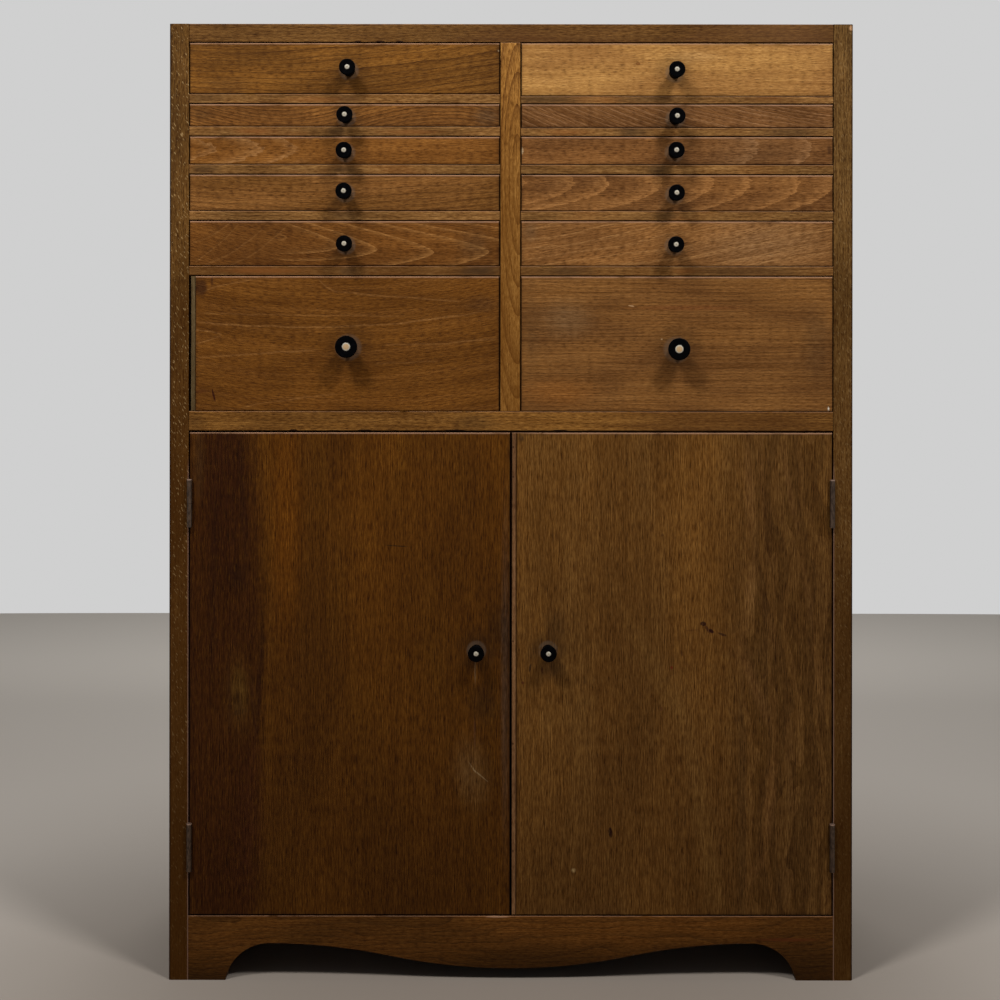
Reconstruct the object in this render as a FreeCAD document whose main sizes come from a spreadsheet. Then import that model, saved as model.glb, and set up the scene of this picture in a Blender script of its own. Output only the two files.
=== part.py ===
"""Haberdashery cabinet: twelve shallow drawers in two columns over a two-door cupboard.

Frame: +X to the right, +Y to the back, +Z up. The origin is on the floor, below the centre of
the space that the cabinet takes with its knobs.
"""

import FreeCAD
import Part
import Sketcher
import math
import os

Vector = FreeCAD.Vector
doc = FreeCAD.newDocument("haberdashery_cabinet")


# ---------------------------------------------------------------- driving dimensions, in mm

DRIVING_DIMENSIONS = (
    ("cabinet_width", 740, "over the two sides"),
    ("cabinet_height", 1035, "floor to the top face"),
    ("cabinet_depth", 400, "front faces to the back, without knobs"),
    ("side_thickness", 21, "left and right side boards"),
    ("top_thickness", 20, "top board"),
    ("middle_thickness", 21, "board between drawers and cupboard"),
    ("bottom_thickness", 18, "cupboard bottom"),
    ("divider_thickness", 22, "upright between the columns"),
    ("divider_shift", -1, "the upright stands a little left of centre"),
    ("runner_thickness", 10.2, "thin shelves that the drawers slide on"),
    ("planed_1", 2.2, "planed off the top of the right column's first shelf"),
    ("planed_2", 1.1, "planed off the top of its second shelf"),
    ("back_thickness", 6, "back panel"),
    ("board_housing", 7, "housings of the thick boards in the sides"),
    ("runner_housing", 5, "housings of the thin shelves"),
    ("rebate_width", 10, "rebates at the top and the back of the sides"),
    ("housing_stop", 12, "housings stop this far behind the front"),
    ("block_size", 15, "glue blocks and the corners that they fill"),
    ("block_length", 60, "glue blocks under the cupboard bottom"),
    ("block_spacing", 120, "the same, from one to the next"),
    ("outer_round", 2.5, "worn outer edges of the sides"),
    ("eased_edge", 0.7, "eased front edges of boards, doors and drawers"),
    ("row_1_height", 56, "opening of the top row of drawers"),
    ("row_2_height", 25, "second row"),
    ("row_3_height", 31, "third row"),
    ("row_4_height", 40, "fourth row"),
    ("row_5_height", 49.5, "fifth row"),
    ("row_6_height", 147, "deep bottom row"),
    ("apron_height", 69.5, "apron with the feet"),
    ("apron_thickness", 20, "apron board"),
    ("crown_height", 13, "floor to the apron's lowest point at the centre"),
    ("arch_height", 40, "floor to the top of each arch"),
    ("arch_reach", 261, "centre to the top of each arch"),
    ("foot_radius", 48.5, "round of each foot's inner edge"),
    ("shelf_thickness", 15, "cupboard shelf"),
    ("shelf_height", 318, "floor to the cupboard shelf's underside"),
    ("shelf_setback", 45, "shelf's front edge behind the face"),
    ("batten_size", 15, "square battens"),
    ("front_thickness", 18, "drawer fronts and doors"),
    ("drawer_gap", 0.8, "round a drawer front"),
    ("drawer_lift", 0.3, "drawer bottom edge above its shelf"),
    ("drawer_length", 390, "front face to the drawer's rear end"),
    ("drawer_side", 8, "drawer sides and back"),
    ("side_drop", 1.5, "drawer sides lower than the front"),
    ("drawer_bottom", 4, "drawer bottom panel"),
    ("groove_height", 5, "bottom panel above the drawer's lower edge"),
    ("groove_depth", 4, "groove in the drawer sides and front"),
    ("tail_lap", 6, "wood left in front of the lapped dovetails"),
    ("tail_slope", 1.7, "how far a tail narrows to each side"),
    ("packing_thickness", 4.6, "strip on the deep left drawer"),
    ("packing_gap", 1.6, "extra play on the left of that strip"),
    ("stop_thickness", 3.5, "drawer stops on the back panel"),
    ("stop_width", 30, "the same, across"),
    ("door_top_gap", 1.8, "above the doors"),
    ("door_bottom_gap", 1.2, "below the doors"),
    ("door_side_gap", 1.2, "between a door and its side"),
    ("door_meeting_gap", 1.8, "between the doors"),
    ("lipping_width", 4.8, "strip on the right door's meeting edge"),
    ("hinge_length", 52, "butt hinges"),
    ("hinge_upper_inset", 50.5, "door top to the upper hinge"),
    ("hinge_lower_inset", 47.5, "door bottom to the lower hinge"),
    ("knuckle_radius", 2.85, "hinge barrel"),
    ("knuckle_gap", 0.35, "between the two knuckles"),
    ("pin_radius", 1.2, "hinge pin"),
    ("pin_clearance", 0.08, "pin in the knuckles"),
    ("leaf_thickness", 1.25, "hinge leaf"),
    ("leaf_depth", 17, "hinge leaf behind the face"),
    ("leaf_housing", 0.8, "hinge leaf let into the wood"),
    ("axis_standoff", 3.2, "hinge axis in front of the face"),
    ("axis_shift", 1, "hinge axis from the gap's middle towards the door"),
    ("knob_radius", 8.8, "small knobs"),
    ("knob_reach", 24, "small knobs in front of the face"),
    ("large_knob_radius", 11.9, "knobs of the deep drawers"),
    ("large_knob_reach", 28, "the same, in front of the face"),
    ("knob_neck", 0.72, "radius of a knob's neck, as a share of its own"),
    ("knob_flare", 0.38, "flared front part of a knob, as a share of its reach"),
    ("stud_share", 0.34, "radius of the inlaid stud, as a share of the knob's"),
    ("stud_proud", 0.6, "stud in front of the knob"),
    ("left_knob_inset", 37.3, "left door's knob from the meeting line"),
    ("right_knob_inset", 40.2, "right door's knob from the meeting line"),
    ("door_knob_height", 357, "door knob above the floor"),
)

sheet = doc.addObject("Spreadsheet::Sheet", "dims")
for row, (alias, number, note) in enumerate(DRIVING_DIMENSIONS, start=1):
    sheet.set(f"A{row}", note)
    sheet.set(f"B{row}", str(number))
    sheet.setAlias(f"B{row}", alias)
doc.recompute()


class Size(float):
    """A length that also carries the spreadsheet expression it is worked out from."""

    def __new__(cls, number, expression=None):
        length = super().__new__(cls, number)
        length.expression = expression or f"({float(number):.6g})"
        return length

    def joined(self, sign, other, number):
        other = other if isinstance(other, Size) else Size(other)
        return Size(number, f"({self.expression} {sign} {other.expression})")

    def __add__(self, other):
        return self.joined("+", other, float(self) + float(other))

    def __sub__(self, other):
        return self.joined("-", other, float(self) - float(other))

    def __mul__(self, other):
        return self.joined("*", other, float(self) * float(other))

    def __truediv__(self, other):
        return self.joined("/", other, float(self) / float(other))

    def __rsub__(self, other):
        return Size(other) - self

    def __neg__(self):
        return Size(0) - self

    __radd__ = __add__
    __rmul__ = __mul__


def size(alias):
    """The driving dimension of that name."""
    return Size(getattr(sheet, alias), f"dims.{alias}")


# ---------------------------------------------------------------- helpers for the features

ZERO = Size(0)
TOLERANCE = 1e-4


def new_body(label, x=ZERO, y=ZERO, z=ZERO):
    """An empty body that stands at the given place."""
    body = doc.addObject("PartDesign::Body", label)
    body.Label = label
    set_place(body, x, y, z)
    return body


def set_place(thing, x, y, z):
    thing.Placement = FreeCAD.Placement(Vector(x, y, z), FreeCAD.Rotation())
    for axis, place in zip("xyz", (x, y, z)):
        thing.setExpression(f"Placement.Base.{axis}", place.expression)


def outline_sketch(body, name, role, loops, offset=ZERO):
    """Closed loops on one of the body's origin planes, moved by offset along its normal.

    A loop is a radius, for a circle about the origin, or a list of corners. A corner is
    (across, up) or (across, up, radius). A radius makes the edge to the next corner an arc: it
    turns left when the radius is positive and right when it is negative.
    """
    sketch = body.newObject("Sketcher::SketchObject", name)
    plane = next(feature for feature in body.Origin.OriginFeatures if feature.Role == role)
    sketch.AttachmentSupport = (plane, [""])
    sketch.MapMode = "FlatFace"
    sketch.AttachmentOffset = FreeCAD.Placement(Vector(0, 0, offset), FreeCAD.Rotation())
    sketch.setExpression("AttachmentOffset.Base.z", offset.expression)
    for loop in loops:
        if isinstance(loop, Size):
            draw_circle(sketch, loop)
        else:
            draw_loop(sketch, [corner if len(corner) == 3 else (*corner, ZERO) for corner in loop])
    return sketch


def draw_circle(sketch, radius):
    """A circle about the sketch's origin."""
    circle = sketch.addGeometry(Part.Circle(Vector(0, 0, 0), Vector(0, 0, 1), radius), False)
    sketch.addConstraint(Sketcher.Constraint("Coincident", circle, 3, -1, 1))
    number = sketch.addConstraint(Sketcher.Constraint("Radius", circle, float(radius)))
    sketch.setExpression(f"Constraints[{number}]", radius.expression)


def draw_loop(sketch, corners):
    """One closed loop of lines and arcs, held by the places of its corners and its radii."""
    first = sketch.GeometryCount
    ends = []
    for (across, up, radius), (next_across, next_up, _) in zip(corners, corners[1:] + corners[:1]):
        start = Vector(across, up, 0)
        finish = Vector(next_across, next_up, 0)
        if radius:
            sketch.addGeometry(arc_between(start, finish, radius), False)
        else:
            sketch.addGeometry(Part.LineSegment(start, finish), False)
        ends.append((2, 1) if radius < 0 else (1, 2))
    count = len(corners)
    for index, (across, up, radius) in enumerate(corners):
        edge = first + index
        following = (index + 1) % count
        sketch.addConstraint(
            Sketcher.Constraint("Coincident", edge, ends[index][1], first + following, ends[following][0])
        )
        for kind, place in (("DistanceX", across), ("DistanceY", up)):
            held = Sketcher.Constraint(kind, -1, 1, edge, ends[index][0], float(place))
            number = sketch.addConstraint(held)
            sketch.setExpression(f"Constraints[{number}]", place.expression)
        if radius:
            number = sketch.addConstraint(Sketcher.Constraint("Radius", edge, abs(float(radius))))
            sketch.setExpression(f"Constraints[{number}]", abs_size(radius).expression)


def abs_size(radius):
    return radius if radius > 0 else -radius


def arc_between(start, finish, radius):
    """The short arc from start to finish: left-turning if the radius is positive."""
    chord = finish - start
    across = Vector(-chord.y, chord.x, 0).normalize()
    rise = math.sqrt(radius * radius - chord.Length * chord.Length / 4)
    centre = (start + finish) * 0.5 + across * math.copysign(rise, radius)
    first, last = (start, finish) if radius > 0 else (finish, start)
    from_angle = math.atan2(first.y - centre.y, first.x - centre.x)
    to_angle = math.atan2(last.y - centre.y, last.x - centre.x)
    return Part.ArcOfCircle(Part.Circle(centre, Vector(0, 0, 1), abs(radius)), from_angle, to_angle)


def rectangle(left, low, right, high):
    return [(left, low), (right, low), (right, high), (left, high)]


def pad(body, name, role, loops, length, offset=ZERO, along_normal=True):
    """Material over the loops, out along the plane's normal or against it."""
    feature = body.newObject("PartDesign::Pad", name)
    feature.Profile = outline_sketch(body, name + "Sketch", role, loops, offset)
    feature.setExpression("Length", length.expression)
    feature.Reversed = not along_normal
    return feature


def pocket(body, name, role, loops, depth, offset=ZERO, along_normal=False):
    """Material taken away behind the loops, against the plane's normal or along it."""
    feature = body.newObject("PartDesign::Pocket", name)
    feature.Profile = outline_sketch(body, name + "Sketch", role, loops, offset)
    feature.setExpression("Length", depth.expression)
    feature.Reversed = along_normal
    return feature


def ease(body, name, test, amount, kind="PartDesign::Chamfer"):
    """Chamfer or round the straight edges whose two ends both pass the test."""
    doc.recompute()
    base = body.Tip
    names = [
        f"Edge{index}"
        for index, edge in enumerate(base.Shape.Edges, start=1)
        if len(edge.Vertexes) == 2 and all(test(vertex.Point) for vertex in edge.Vertexes)
    ]
    feature = body.newObject(kind, name)
    feature.Base = (base, names)
    feature.setExpression("Radius" if kind.endswith("Fillet") else "Size", amount.expression)
    return feature


def ease_front(body):
    """Ease the edges round the front face, which lies at Y = 0 in the piece's own frame."""
    return ease(body, "EasedFront", lambda point: abs(point.y) < TOLERANCE, eased)


def block(label, x, y, z, length, depth, height):
    """A plain rectangular piece with its left front bottom corner at x, y, z."""
    piece = doc.addObject("Part::Box", label)
    piece.Label = label
    for side_name, amount in (("Length", length), ("Width", depth), ("Height", height)):
        piece.setExpression(side_name, amount.expression)
    set_place(piece, x, y, z)
    return piece


def group(label, pieces):
    """Separate solids of one kind that share a node."""
    compound = doc.addObject("Part::Compound", label)
    compound.Label = label
    compound.Links = pieces
    return compound


# ---------------------------------------------------------------- places shared by the pieces

side_thickness = size("side_thickness")
depth = size("cabinet_depth")
height = size("cabinet_height")
housing_stop = size("housing_stop")
eased = size("eased_edge")
back_thickness = size("back_thickness")
runner_thickness = size("runner_thickness")
runner_housing = size("runner_housing")
board_housing = size("board_housing")
rebate_width = size("rebate_width")
front_thickness = size("front_thickness")

half_width = size("cabinet_width") / 2
inner_half = half_width - side_thickness
stud_proud = size("stud_proud")
face = (size("large_knob_reach") + stud_proud - depth) / 2
inner_depth = depth - back_thickness
top_low = height - size("top_thickness")
divider_left = size("divider_shift") - size("divider_thickness") / 2
divider_right = divider_left + size("divider_thickness")

ROW_COUNT = 6
COLUMNS = {"left": (-inner_half, divider_left), "right": (divider_right, inner_half)}
PLANED_SHELVES = {("right", 1): size("planed_1"), ("right", 2): size("planed_2")}
rows = {"left": [], "right": []}
row_high = top_low
for number in range(1, ROW_COUNT + 1):
    row_low = row_high - size(f"row_{number}_height")
    for column in COLUMNS:
        rows[column].append((row_low - PLANED_SHELVES.get((column, number), ZERO), row_high))
    row_high = row_low - runner_thickness
middle_high = row_low
middle_low = middle_high - size("middle_thickness")
apron_height = size("apron_height")
bottom_low = apron_height - size("bottom_thickness")

door_low = apron_height + size("door_bottom_gap")
door_high = middle_low - size("door_top_gap")
hinge_length = size("hinge_length")
HINGE_LOWS = (
    door_high - size("hinge_upper_inset") - hinge_length,
    door_low + size("hinge_lower_inset"),
)


# ---------------------------------------------------------------- carcass

def make_side(hand):
    """A full-height side with its stopped housings, rebates and hinge housings."""
    is_left = hand == "left"
    x = -half_width if is_left else inner_half
    body = new_body(f"{hand}_side", x, face, ZERO)
    inner = side_thickness if is_left else ZERO
    outer = ZERO if is_left else side_thickness
    pad(body, "Board", "YZ_Plane", [rectangle(ZERO, ZERO, depth, height)], side_thickness)
    ease(
        body,
        "WornOuterEdges",
        lambda point: abs(point.x - outer) < TOLERANCE and abs(point.y - depth) > TOLERANCE,
        size("outer_round"),
        "PartDesign::Fillet",
    )

    def cut_inside(name, loops, amount):
        pocket(body, name, "YZ_Plane", loops, amount, inner, along_normal=not is_left)

    cut_inside("TopRebate", [rectangle(housing_stop, top_low, depth, height)], rebate_width)
    cut_inside("BackRebate", [rectangle(inner_depth, bottom_low, depth, top_low)], rebate_width)
    cut_inside(
        "BoardHousings",
        [
            rectangle(housing_stop, middle_low, inner_depth, middle_high),
            rectangle(size("apron_thickness"), bottom_low, inner_depth, apron_height),
        ],
        board_housing,
    )
    cut_inside("RunnerHousings", shelf_housings(hand), runner_housing)
    cut_inside(
        "HingeHousings",
        [rectangle(ZERO, low, size("leaf_depth"), low + hinge_length) for low in HINGE_LOWS],
        size("leaf_housing"),
    )
    return body


def shelf_places(column):
    """The underside and the upper face of each thin shelf in a column, from the top down."""
    return [(below[1], above[0]) for above, below in zip(rows[column], rows[column][1:])]


def shelf_housings(column):
    """The stopped housings of one column of thin shelves, as loops in Y and Z."""
    return [rectangle(housing_stop, low, inner_depth, high) for low, high in shelf_places(column)]


def housed_outline(left, right, tongue, rear):
    """A board seen from above: its ends step out into their housings behind the housing stop."""
    return [
        (left, ZERO),
        (right, ZERO),
        (right, housing_stop),
        (right + tongue, housing_stop),
        (right + tongue, rear),
        (left - tongue, rear),
        (left - tongue, housing_stop),
        (left, housing_stop),
    ]


def make_top_board():
    """The top board, lapped behind the front into the sides and rebated for the back panel."""
    body = new_body("top_board", ZERO, face, top_low)
    outline = housed_outline(-inner_half, inner_half, rebate_width, depth)
    pad(body, "Board", "XY_Plane", [outline], size("top_thickness"))
    ease_front(body)
    ends = inner_half + rebate_width
    back_rebate = rectangle(-ends, inner_depth, ends, depth)
    pocket(body, "BackRebate", "XY_Plane", [back_rebate], rebate_width, along_normal=True)
    divider_housing = rectangle(divider_left, housing_stop, divider_right, inner_depth)
    pocket(body, "DividerHousing", "XY_Plane", [divider_housing], runner_housing, along_normal=True)
    return body


def make_middle_board():
    """The board between the drawers and the cupboard, which carries the divider."""
    thickness = size("middle_thickness")
    body = new_body("middle_board", ZERO, face, middle_low)
    outline = housed_outline(-inner_half, inner_half, board_housing, inner_depth)
    pad(body, "Board", "XY_Plane", [outline], thickness)
    ease_front(body)
    divider_housing = rectangle(divider_left, housing_stop, divider_right, inner_depth)
    pocket(body, "DividerHousing", "XY_Plane", [divider_housing], runner_housing, thickness)
    return body


def make_bottom_board():
    """The cupboard bottom, housed in the sides behind the apron."""
    apron = size("apron_thickness")
    ends = inner_half + board_housing
    return block(
        "bottom_board",
        -ends,
        face + apron,
        bottom_low,
        ends * 2,
        inner_depth - apron,
        size("bottom_thickness"),
    )


def make_divider():
    """The upright between the columns, tongued into the top and middle boards."""
    thickness = size("divider_thickness")
    body = new_body("centre_divider", divider_left, face, ZERO)
    outline = [
        (ZERO, middle_high),
        (housing_stop, middle_high),
        (housing_stop, middle_high - runner_housing),
        (inner_depth, middle_high - runner_housing),
        (inner_depth, top_low + runner_housing),
        (housing_stop, top_low + runner_housing),
        (housing_stop, top_low),
        (ZERO, top_low),
    ]
    pad(body, "Board", "YZ_Plane", [outline], thickness)
    ease_front(body)
    left, right = shelf_housings("left"), shelf_housings("right")
    pocket(body, "LeftHousings", "YZ_Plane", left, runner_housing, along_normal=True)
    pocket(body, "RightHousings", "YZ_Plane", right, runner_housing, thickness)
    return body


def make_drawer_shelves(column):
    """The five thin shelves of one column, with their ends in stopped housings."""
    left, right = COLUMNS[column]
    shelves = []
    for number, (low, high) in enumerate(shelf_places(column), start=1):
        body = new_body(f"{column}_shelf_{number}", ZERO, face, low)
        outline = housed_outline(left, right, runner_housing, inner_depth)
        pad(body, "Board", "XY_Plane", [outline], high - low)
        ease_front(body)
        shelves.append(body)
    return group(f"{column}_drawer_shelves", shelves)


def make_apron():
    """The front apron: a low crown at the centre, two arches, and a foot at each end.

    The lower edge swings from the crown to each arch in two arcs of one radius, then drops to
    the floor round the foot.
    """
    thickness = size("apron_thickness")
    crown = size("crown_height")
    arch = size("arch_height")
    reach = size("arch_reach")
    foot_radius = size("foot_radius")
    half_reach = reach / 2
    half_rise = (arch - crown) / 2
    swing_radius = (half_reach * half_reach + half_rise * half_rise) / (2 * half_rise)
    foot_drop = foot_radius - arch
    foot_run = square_root(foot_radius * foot_radius - foot_drop * foot_drop)
    body = new_body("front_apron", ZERO, face, ZERO)
    outline = [
        (-inner_half, ZERO),
        (-reach - foot_run, ZERO, -foot_radius),
        (-reach, arch, -swing_radius),
        (-half_reach, crown + half_rise, swing_radius),
        (half_reach, crown + half_rise, -swing_radius),
        (reach, arch, -foot_radius),
        (reach + foot_run, ZERO),
        (inner_half, ZERO),
        (inner_half, apron_height),
        (-inner_half, apron_height),
    ]
    pad(body, "Board", "XZ_Plane", [outline], thickness, along_normal=False)
    ease(
        body,
        "EasedTopEdge",
        lambda point: abs(point.y) < TOLERANCE and abs(point.z - apron_height) < TOLERANCE,
        eased,
    )
    return body


def square_root(number):
    return Size(math.sqrt(number), f"sqrt({number.expression})")


def make_glue_blocks():
    """Blocks glued in the corner of the apron and the bottom board, and behind the feet."""
    apron_back = face + size("apron_thickness")
    corner = size("block_size")
    length = size("block_length")
    blocks = []
    for number in range(3):
        x = size("block_spacing") * (number - 1) - length / 2
        low = bottom_low - corner
        blocks.append(block(f"block_{number + 1}", x, apron_back, low, length, corner, corner))
    foot = corner * 2
    for name, x in (("left", -inner_half), ("right", inner_half - foot)):
        blocks.append(block(f"{name}_foot_block", x, apron_back, ZERO, foot, foot, bottom_low))
    return group("apron_glue_blocks", blocks)


def make_back_panel():
    """The thin back, let into the rebates of the sides and the top board."""
    ends = inner_half + rebate_width
    high = top_low + rebate_width
    return block(
        "back_panel", -ends, face + inner_depth, bottom_low, ends * 2, back_thickness, high - bottom_low
    )


def make_cupboard_shelf():
    setback = size("shelf_setback")
    play = size("drawer_gap")
    ends = inner_half - play
    return block(
        "cupboard_shelf",
        -ends,
        face + setback,
        size("shelf_height"),
        ends * 2,
        inner_depth - setback - play,
        size("shelf_thickness"),
    )


def make_shelf_battens():
    """A batten on each side that the loose shelf lies on."""
    batten = size("batten_size")
    setback = size("shelf_setback")
    low = size("shelf_height") - batten
    run = inner_depth - setback
    left = block("left_batten", -inner_half, face + setback, low, batten, run, batten)
    right = block("right_batten", inner_half - batten, face + setback, low, batten, run, batten)
    return group("shelf_battens", [left, right])


def make_door_stop():
    """The batten under the middle board that the closed doors rest against."""
    batten = size("batten_size")
    ends = inner_half - batten * 2
    behind_doors = face + front_thickness + size("drawer_gap")
    return block(
        "door_stop_batten", -ends, behind_doors, middle_low - batten, ends * 2, batten, batten
    )


# ---------------------------------------------------------------- hinges

knuckle_radius = size("knuckle_radius")
pin_radius = size("pin_radius")
side_gap = size("door_side_gap")
HAND_SIGN = {"left": 1, "right": -1}


def hinge_axis_x(hand):
    """The knuckles stand over the gap at the door's edge, a little towards the door."""
    return (inner_half - side_gap / 2 - size("axis_shift")) * -HAND_SIGN[hand]


def make_hinge_leaf(label, hand, low, on_door):
    """One leaf of a lift-off hinge: a plate let into the wood, with its knuckle round the axis.

    The frame leaf has the lower knuckle, which holds the pin, and the door leaf has the upper
    one. In the leaf's own frame the axis is the Z axis.
    """
    toward_door = HAND_SIGN[hand]
    standoff = size("axis_standoff")
    leaf = size("leaf_thickness")
    housing = size("leaf_housing")
    knuckle_gap = size("knuckle_gap")
    body = new_body(label, hinge_axis_x(hand), face - standoff, low)

    gap_middle = -size("axis_shift")
    if on_door:
        far = gap_middle + side_gap / 2 + housing
        near = far - leaf
    else:
        far = gap_middle - side_gap / 2 - housing
        near = far + leaf
    left, right = sorted((far * toward_door, near * toward_door))
    rear = standoff + size("leaf_depth")
    pad(body, "Plate", "XY_Plane", [rectangle(left, ZERO, right, rear)], hinge_length)
    pad(body, "Barrel", "XY_Plane", [knuckle_radius], hinge_length)
    pocket(body, "PinHole", "XY_Plane", [pin_radius + size("pin_clearance")], hinge_length, hinge_length)

    reach = knuckle_radius + knuckle_gap
    notch = rectangle(-reach, -reach, reach, reach)
    notch_length = (hinge_length + knuckle_gap) / 2
    notch_top = notch_length if on_door else hinge_length
    pocket(body, "KnuckleNotch", "XY_Plane", [notch], notch_length, notch_top)
    return body


def make_hinges():
    """Four lift-off hinges: leaves on the frame, leaves on the doors, and their pins."""
    frame_leaves = []
    door_leaves = {"left": [], "right": []}
    pins = []
    for hand in ("left", "right"):
        for place, low in zip(("upper", "lower"), HINGE_LOWS):
            name = f"{hand}_{place}_hinge"
            frame_leaves.append(make_hinge_leaf(f"{name}_frame_leaf", hand, low, on_door=False))
            door_leaves[hand].append(make_hinge_leaf(f"{name}_door_leaf", hand, low, on_door=True))
            pin = doc.addObject("Part::Cylinder", f"{name}_pin")
            pin.setExpression("Radius", pin_radius.expression)
            pin.setExpression("Height", hinge_length.expression)
            set_place(pin, hinge_axis_x(hand), face - size("axis_standoff"), low)
            pins.append(pin)
    return [
        group("frame_hinge_leaves", frame_leaves),
        group("left_door_hinge_leaves", door_leaves["left"]),
        group("right_door_hinge_leaves", door_leaves["right"]),
        group("hinge_pins", pins),
    ]


# ---------------------------------------------------------------- knobs

def make_knob(label, x, z, large):
    """A turned knob and the pale stud let into its face.

    The knob has a straight neck and flares to a flat face. The stud stands a little proud of
    the face.
    """
    radius = size("large_knob_radius" if large else "knob_radius")
    reach = size("large_knob_reach" if large else "knob_reach")
    neck = radius * size("knob_neck")
    flare = reach * size("knob_flare")
    stud = radius * size("stud_share")
    turned = new_body(f"{label}_turned", x, face, z)
    profile = [
        (ZERO, ZERO),
        (neck, ZERO),
        (neck, flare - reach),
        (radius, -reach),
        (ZERO, -reach),
    ]
    revolve(turned, "Turning", profile)
    inlay = new_body(f"{label}_stud", x, face - reach, z)
    revolve(inlay, "Stud", [(ZERO, ZERO), (stud, ZERO), (stud, -stud_proud), (ZERO, -stud_proud)])
    return [turned, inlay]


def revolve(body, name, profile):
    """A profile of radius and depth, turned round the body's Y axis."""
    sketch = outline_sketch(body, name + "Profile", "XY_Plane", [profile])
    feature = body.newObject("PartDesign::Revolution", name)
    feature.Profile = sketch
    feature.ReferenceAxis = (sketch, ["V_Axis"])
    feature.Angle = 360
    return feature


# ---------------------------------------------------------------- doors

def make_doors():
    """Two flush doors with their knobs. The right one has a lipping on its meeting edge."""
    meeting = size("door_meeting_gap") / 2
    lipping = size("lipping_width")
    outer = inner_half - side_gap
    rise = door_high - door_low
    pieces = []
    for hand, left, right in (("left", -outer, -meeting), ("right", meeting + lipping, outer)):
        body = new_body(f"{hand}_door_panel", left, face, door_low)
        width = right - left
        panel = rectangle(ZERO, ZERO, width, rise)
        pad(body, "Panel", "XZ_Plane", [panel], front_thickness, along_normal=False)
        ease_front(body)
        hinge_edge = ZERO if hand == "left" else width
        housings = [
            rectangle(ZERO, low - door_low, size("leaf_depth"), low - door_low + hinge_length)
            for low in HINGE_LOWS
        ]
        pocket(
            body,
            "HingeHousings",
            "YZ_Plane",
            housings,
            size("leaf_housing"),
            hinge_edge,
            along_normal=hand == "left",
        )
        knob_x = size(f"{hand}_knob_inset") * -HAND_SIGN[hand]
        knob = make_knob(f"{hand}_door_knob", knob_x, size("door_knob_height"), large=False)
        pieces.append(group(f"{hand}_door", [body, *knob]))
    strip = new_body("right_door_lipping", meeting, face, door_low)
    section = rectangle(ZERO, ZERO, lipping, rise)
    pad(strip, "Strip", "XZ_Plane", [section], front_thickness, along_normal=False)
    ease_front(strip)
    pieces.append(strip)
    return pieces


# ---------------------------------------------------------------- drawers

drawer_gap = size("drawer_gap")
drawer_lift = size("drawer_lift")
drawer_side = size("drawer_side")
drawer_length = size("drawer_length")
tail_lap = size("tail_lap")
groove_depth = size("groove_depth")
groove_low = size("groove_height")
groove_high = groove_low + size("drawer_bottom")
TAIL_PITCH = 23
TAIL_SHARE = 0.62
# The knobs were set by eye: how far each stands to the right of the middle of its drawer and
# how far below it, top row first.
KNOB_DRIFT = {
    "left": ((4.7, 2.7), (1.9, 2.7), (1.2, 2.7), (1, 0.5), (1.6, 2), (4.3, 4)),
    "right": ((-2.4, 3.7), (-2.2, 3.3), (-3, 2.2), (-2.7, 2.2), (-3.3, 2.6), (-0.3, 6.2)),
}


def dovetails(side_height):
    """The lapped dovetails of a drawer corner, as (middle, half width at the lap) up the side."""
    count = max(1, int(side_height / TAIL_PITCH))
    pitch = side_height / count
    return [(pitch * (index + 0.5), pitch * TAIL_SHARE / 2) for index in range(count)]


def tail_loop(middle, half):
    """One dovetail between the lap and the shoulder, in Y and Z."""
    root = half - size("tail_slope")
    return [
        (tail_lap, middle - half),
        (front_thickness, middle - root),
        (front_thickness, middle + root),
        (tail_lap, middle + half),
    ]


def make_drawer_front(label, left, low, width, rise, tails):
    """A drawer front with the dovetail sockets in its ends and the groove for the bottom."""
    body = new_body(label, left, face, low)
    board = rectangle(ZERO, ZERO, width, rise)
    pad(body, "Board", "XZ_Plane", [board], front_thickness, along_normal=False)
    ease_front(body)
    sockets = [tail_loop(middle, half) for middle, half in tails]
    pocket(body, "LeftSockets", "YZ_Plane", sockets, drawer_side, along_normal=True)
    pocket(body, "RightSockets", "YZ_Plane", sockets, drawer_side, width)
    inset = drawer_side - groove_depth
    groove = rectangle(inset, groove_low, width - inset, groove_high)
    back_face = -front_thickness
    pocket(body, "BottomGroove", "XZ_Plane", [groove], groove_depth, back_face, along_normal=True)
    return body


def make_drawer_side(label, hand, x, low, side_height, tails):
    """A drawer side with dovetails at its front end and a groove for the bottom."""
    is_left = hand == "left"
    body = new_body(label, x, face, low)
    outline = [
        (front_thickness, ZERO),
        (drawer_length, ZERO),
        (drawer_length, side_height),
        (front_thickness, side_height),
    ]
    for middle, half in reversed(tails):
        low_lap, low_root, high_root, high_lap = tail_loop(middle, half)
        outline += [high_root, high_lap, low_lap, low_root]
    pad(body, "Board", "YZ_Plane", [outline], drawer_side)
    inner = drawer_side if is_left else ZERO
    groove = rectangle(tail_lap, groove_low, drawer_length, groove_high)
    pocket(body, "BottomGroove", "YZ_Plane", [groove], groove_depth, inner, along_normal=not is_left)
    return body


def make_packing_strip(left, low, rise):
    """The strip that packs out the deep left drawer, along its whole left side."""
    strip = new_body("drawer_left_6_packing_strip", left, face, low)
    section = rectangle(ZERO, ZERO, size("packing_thickness"), rise)
    pad(strip, "Strip", "XZ_Plane", [section], drawer_length, along_normal=False)
    ease_front(strip)
    return strip


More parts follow.
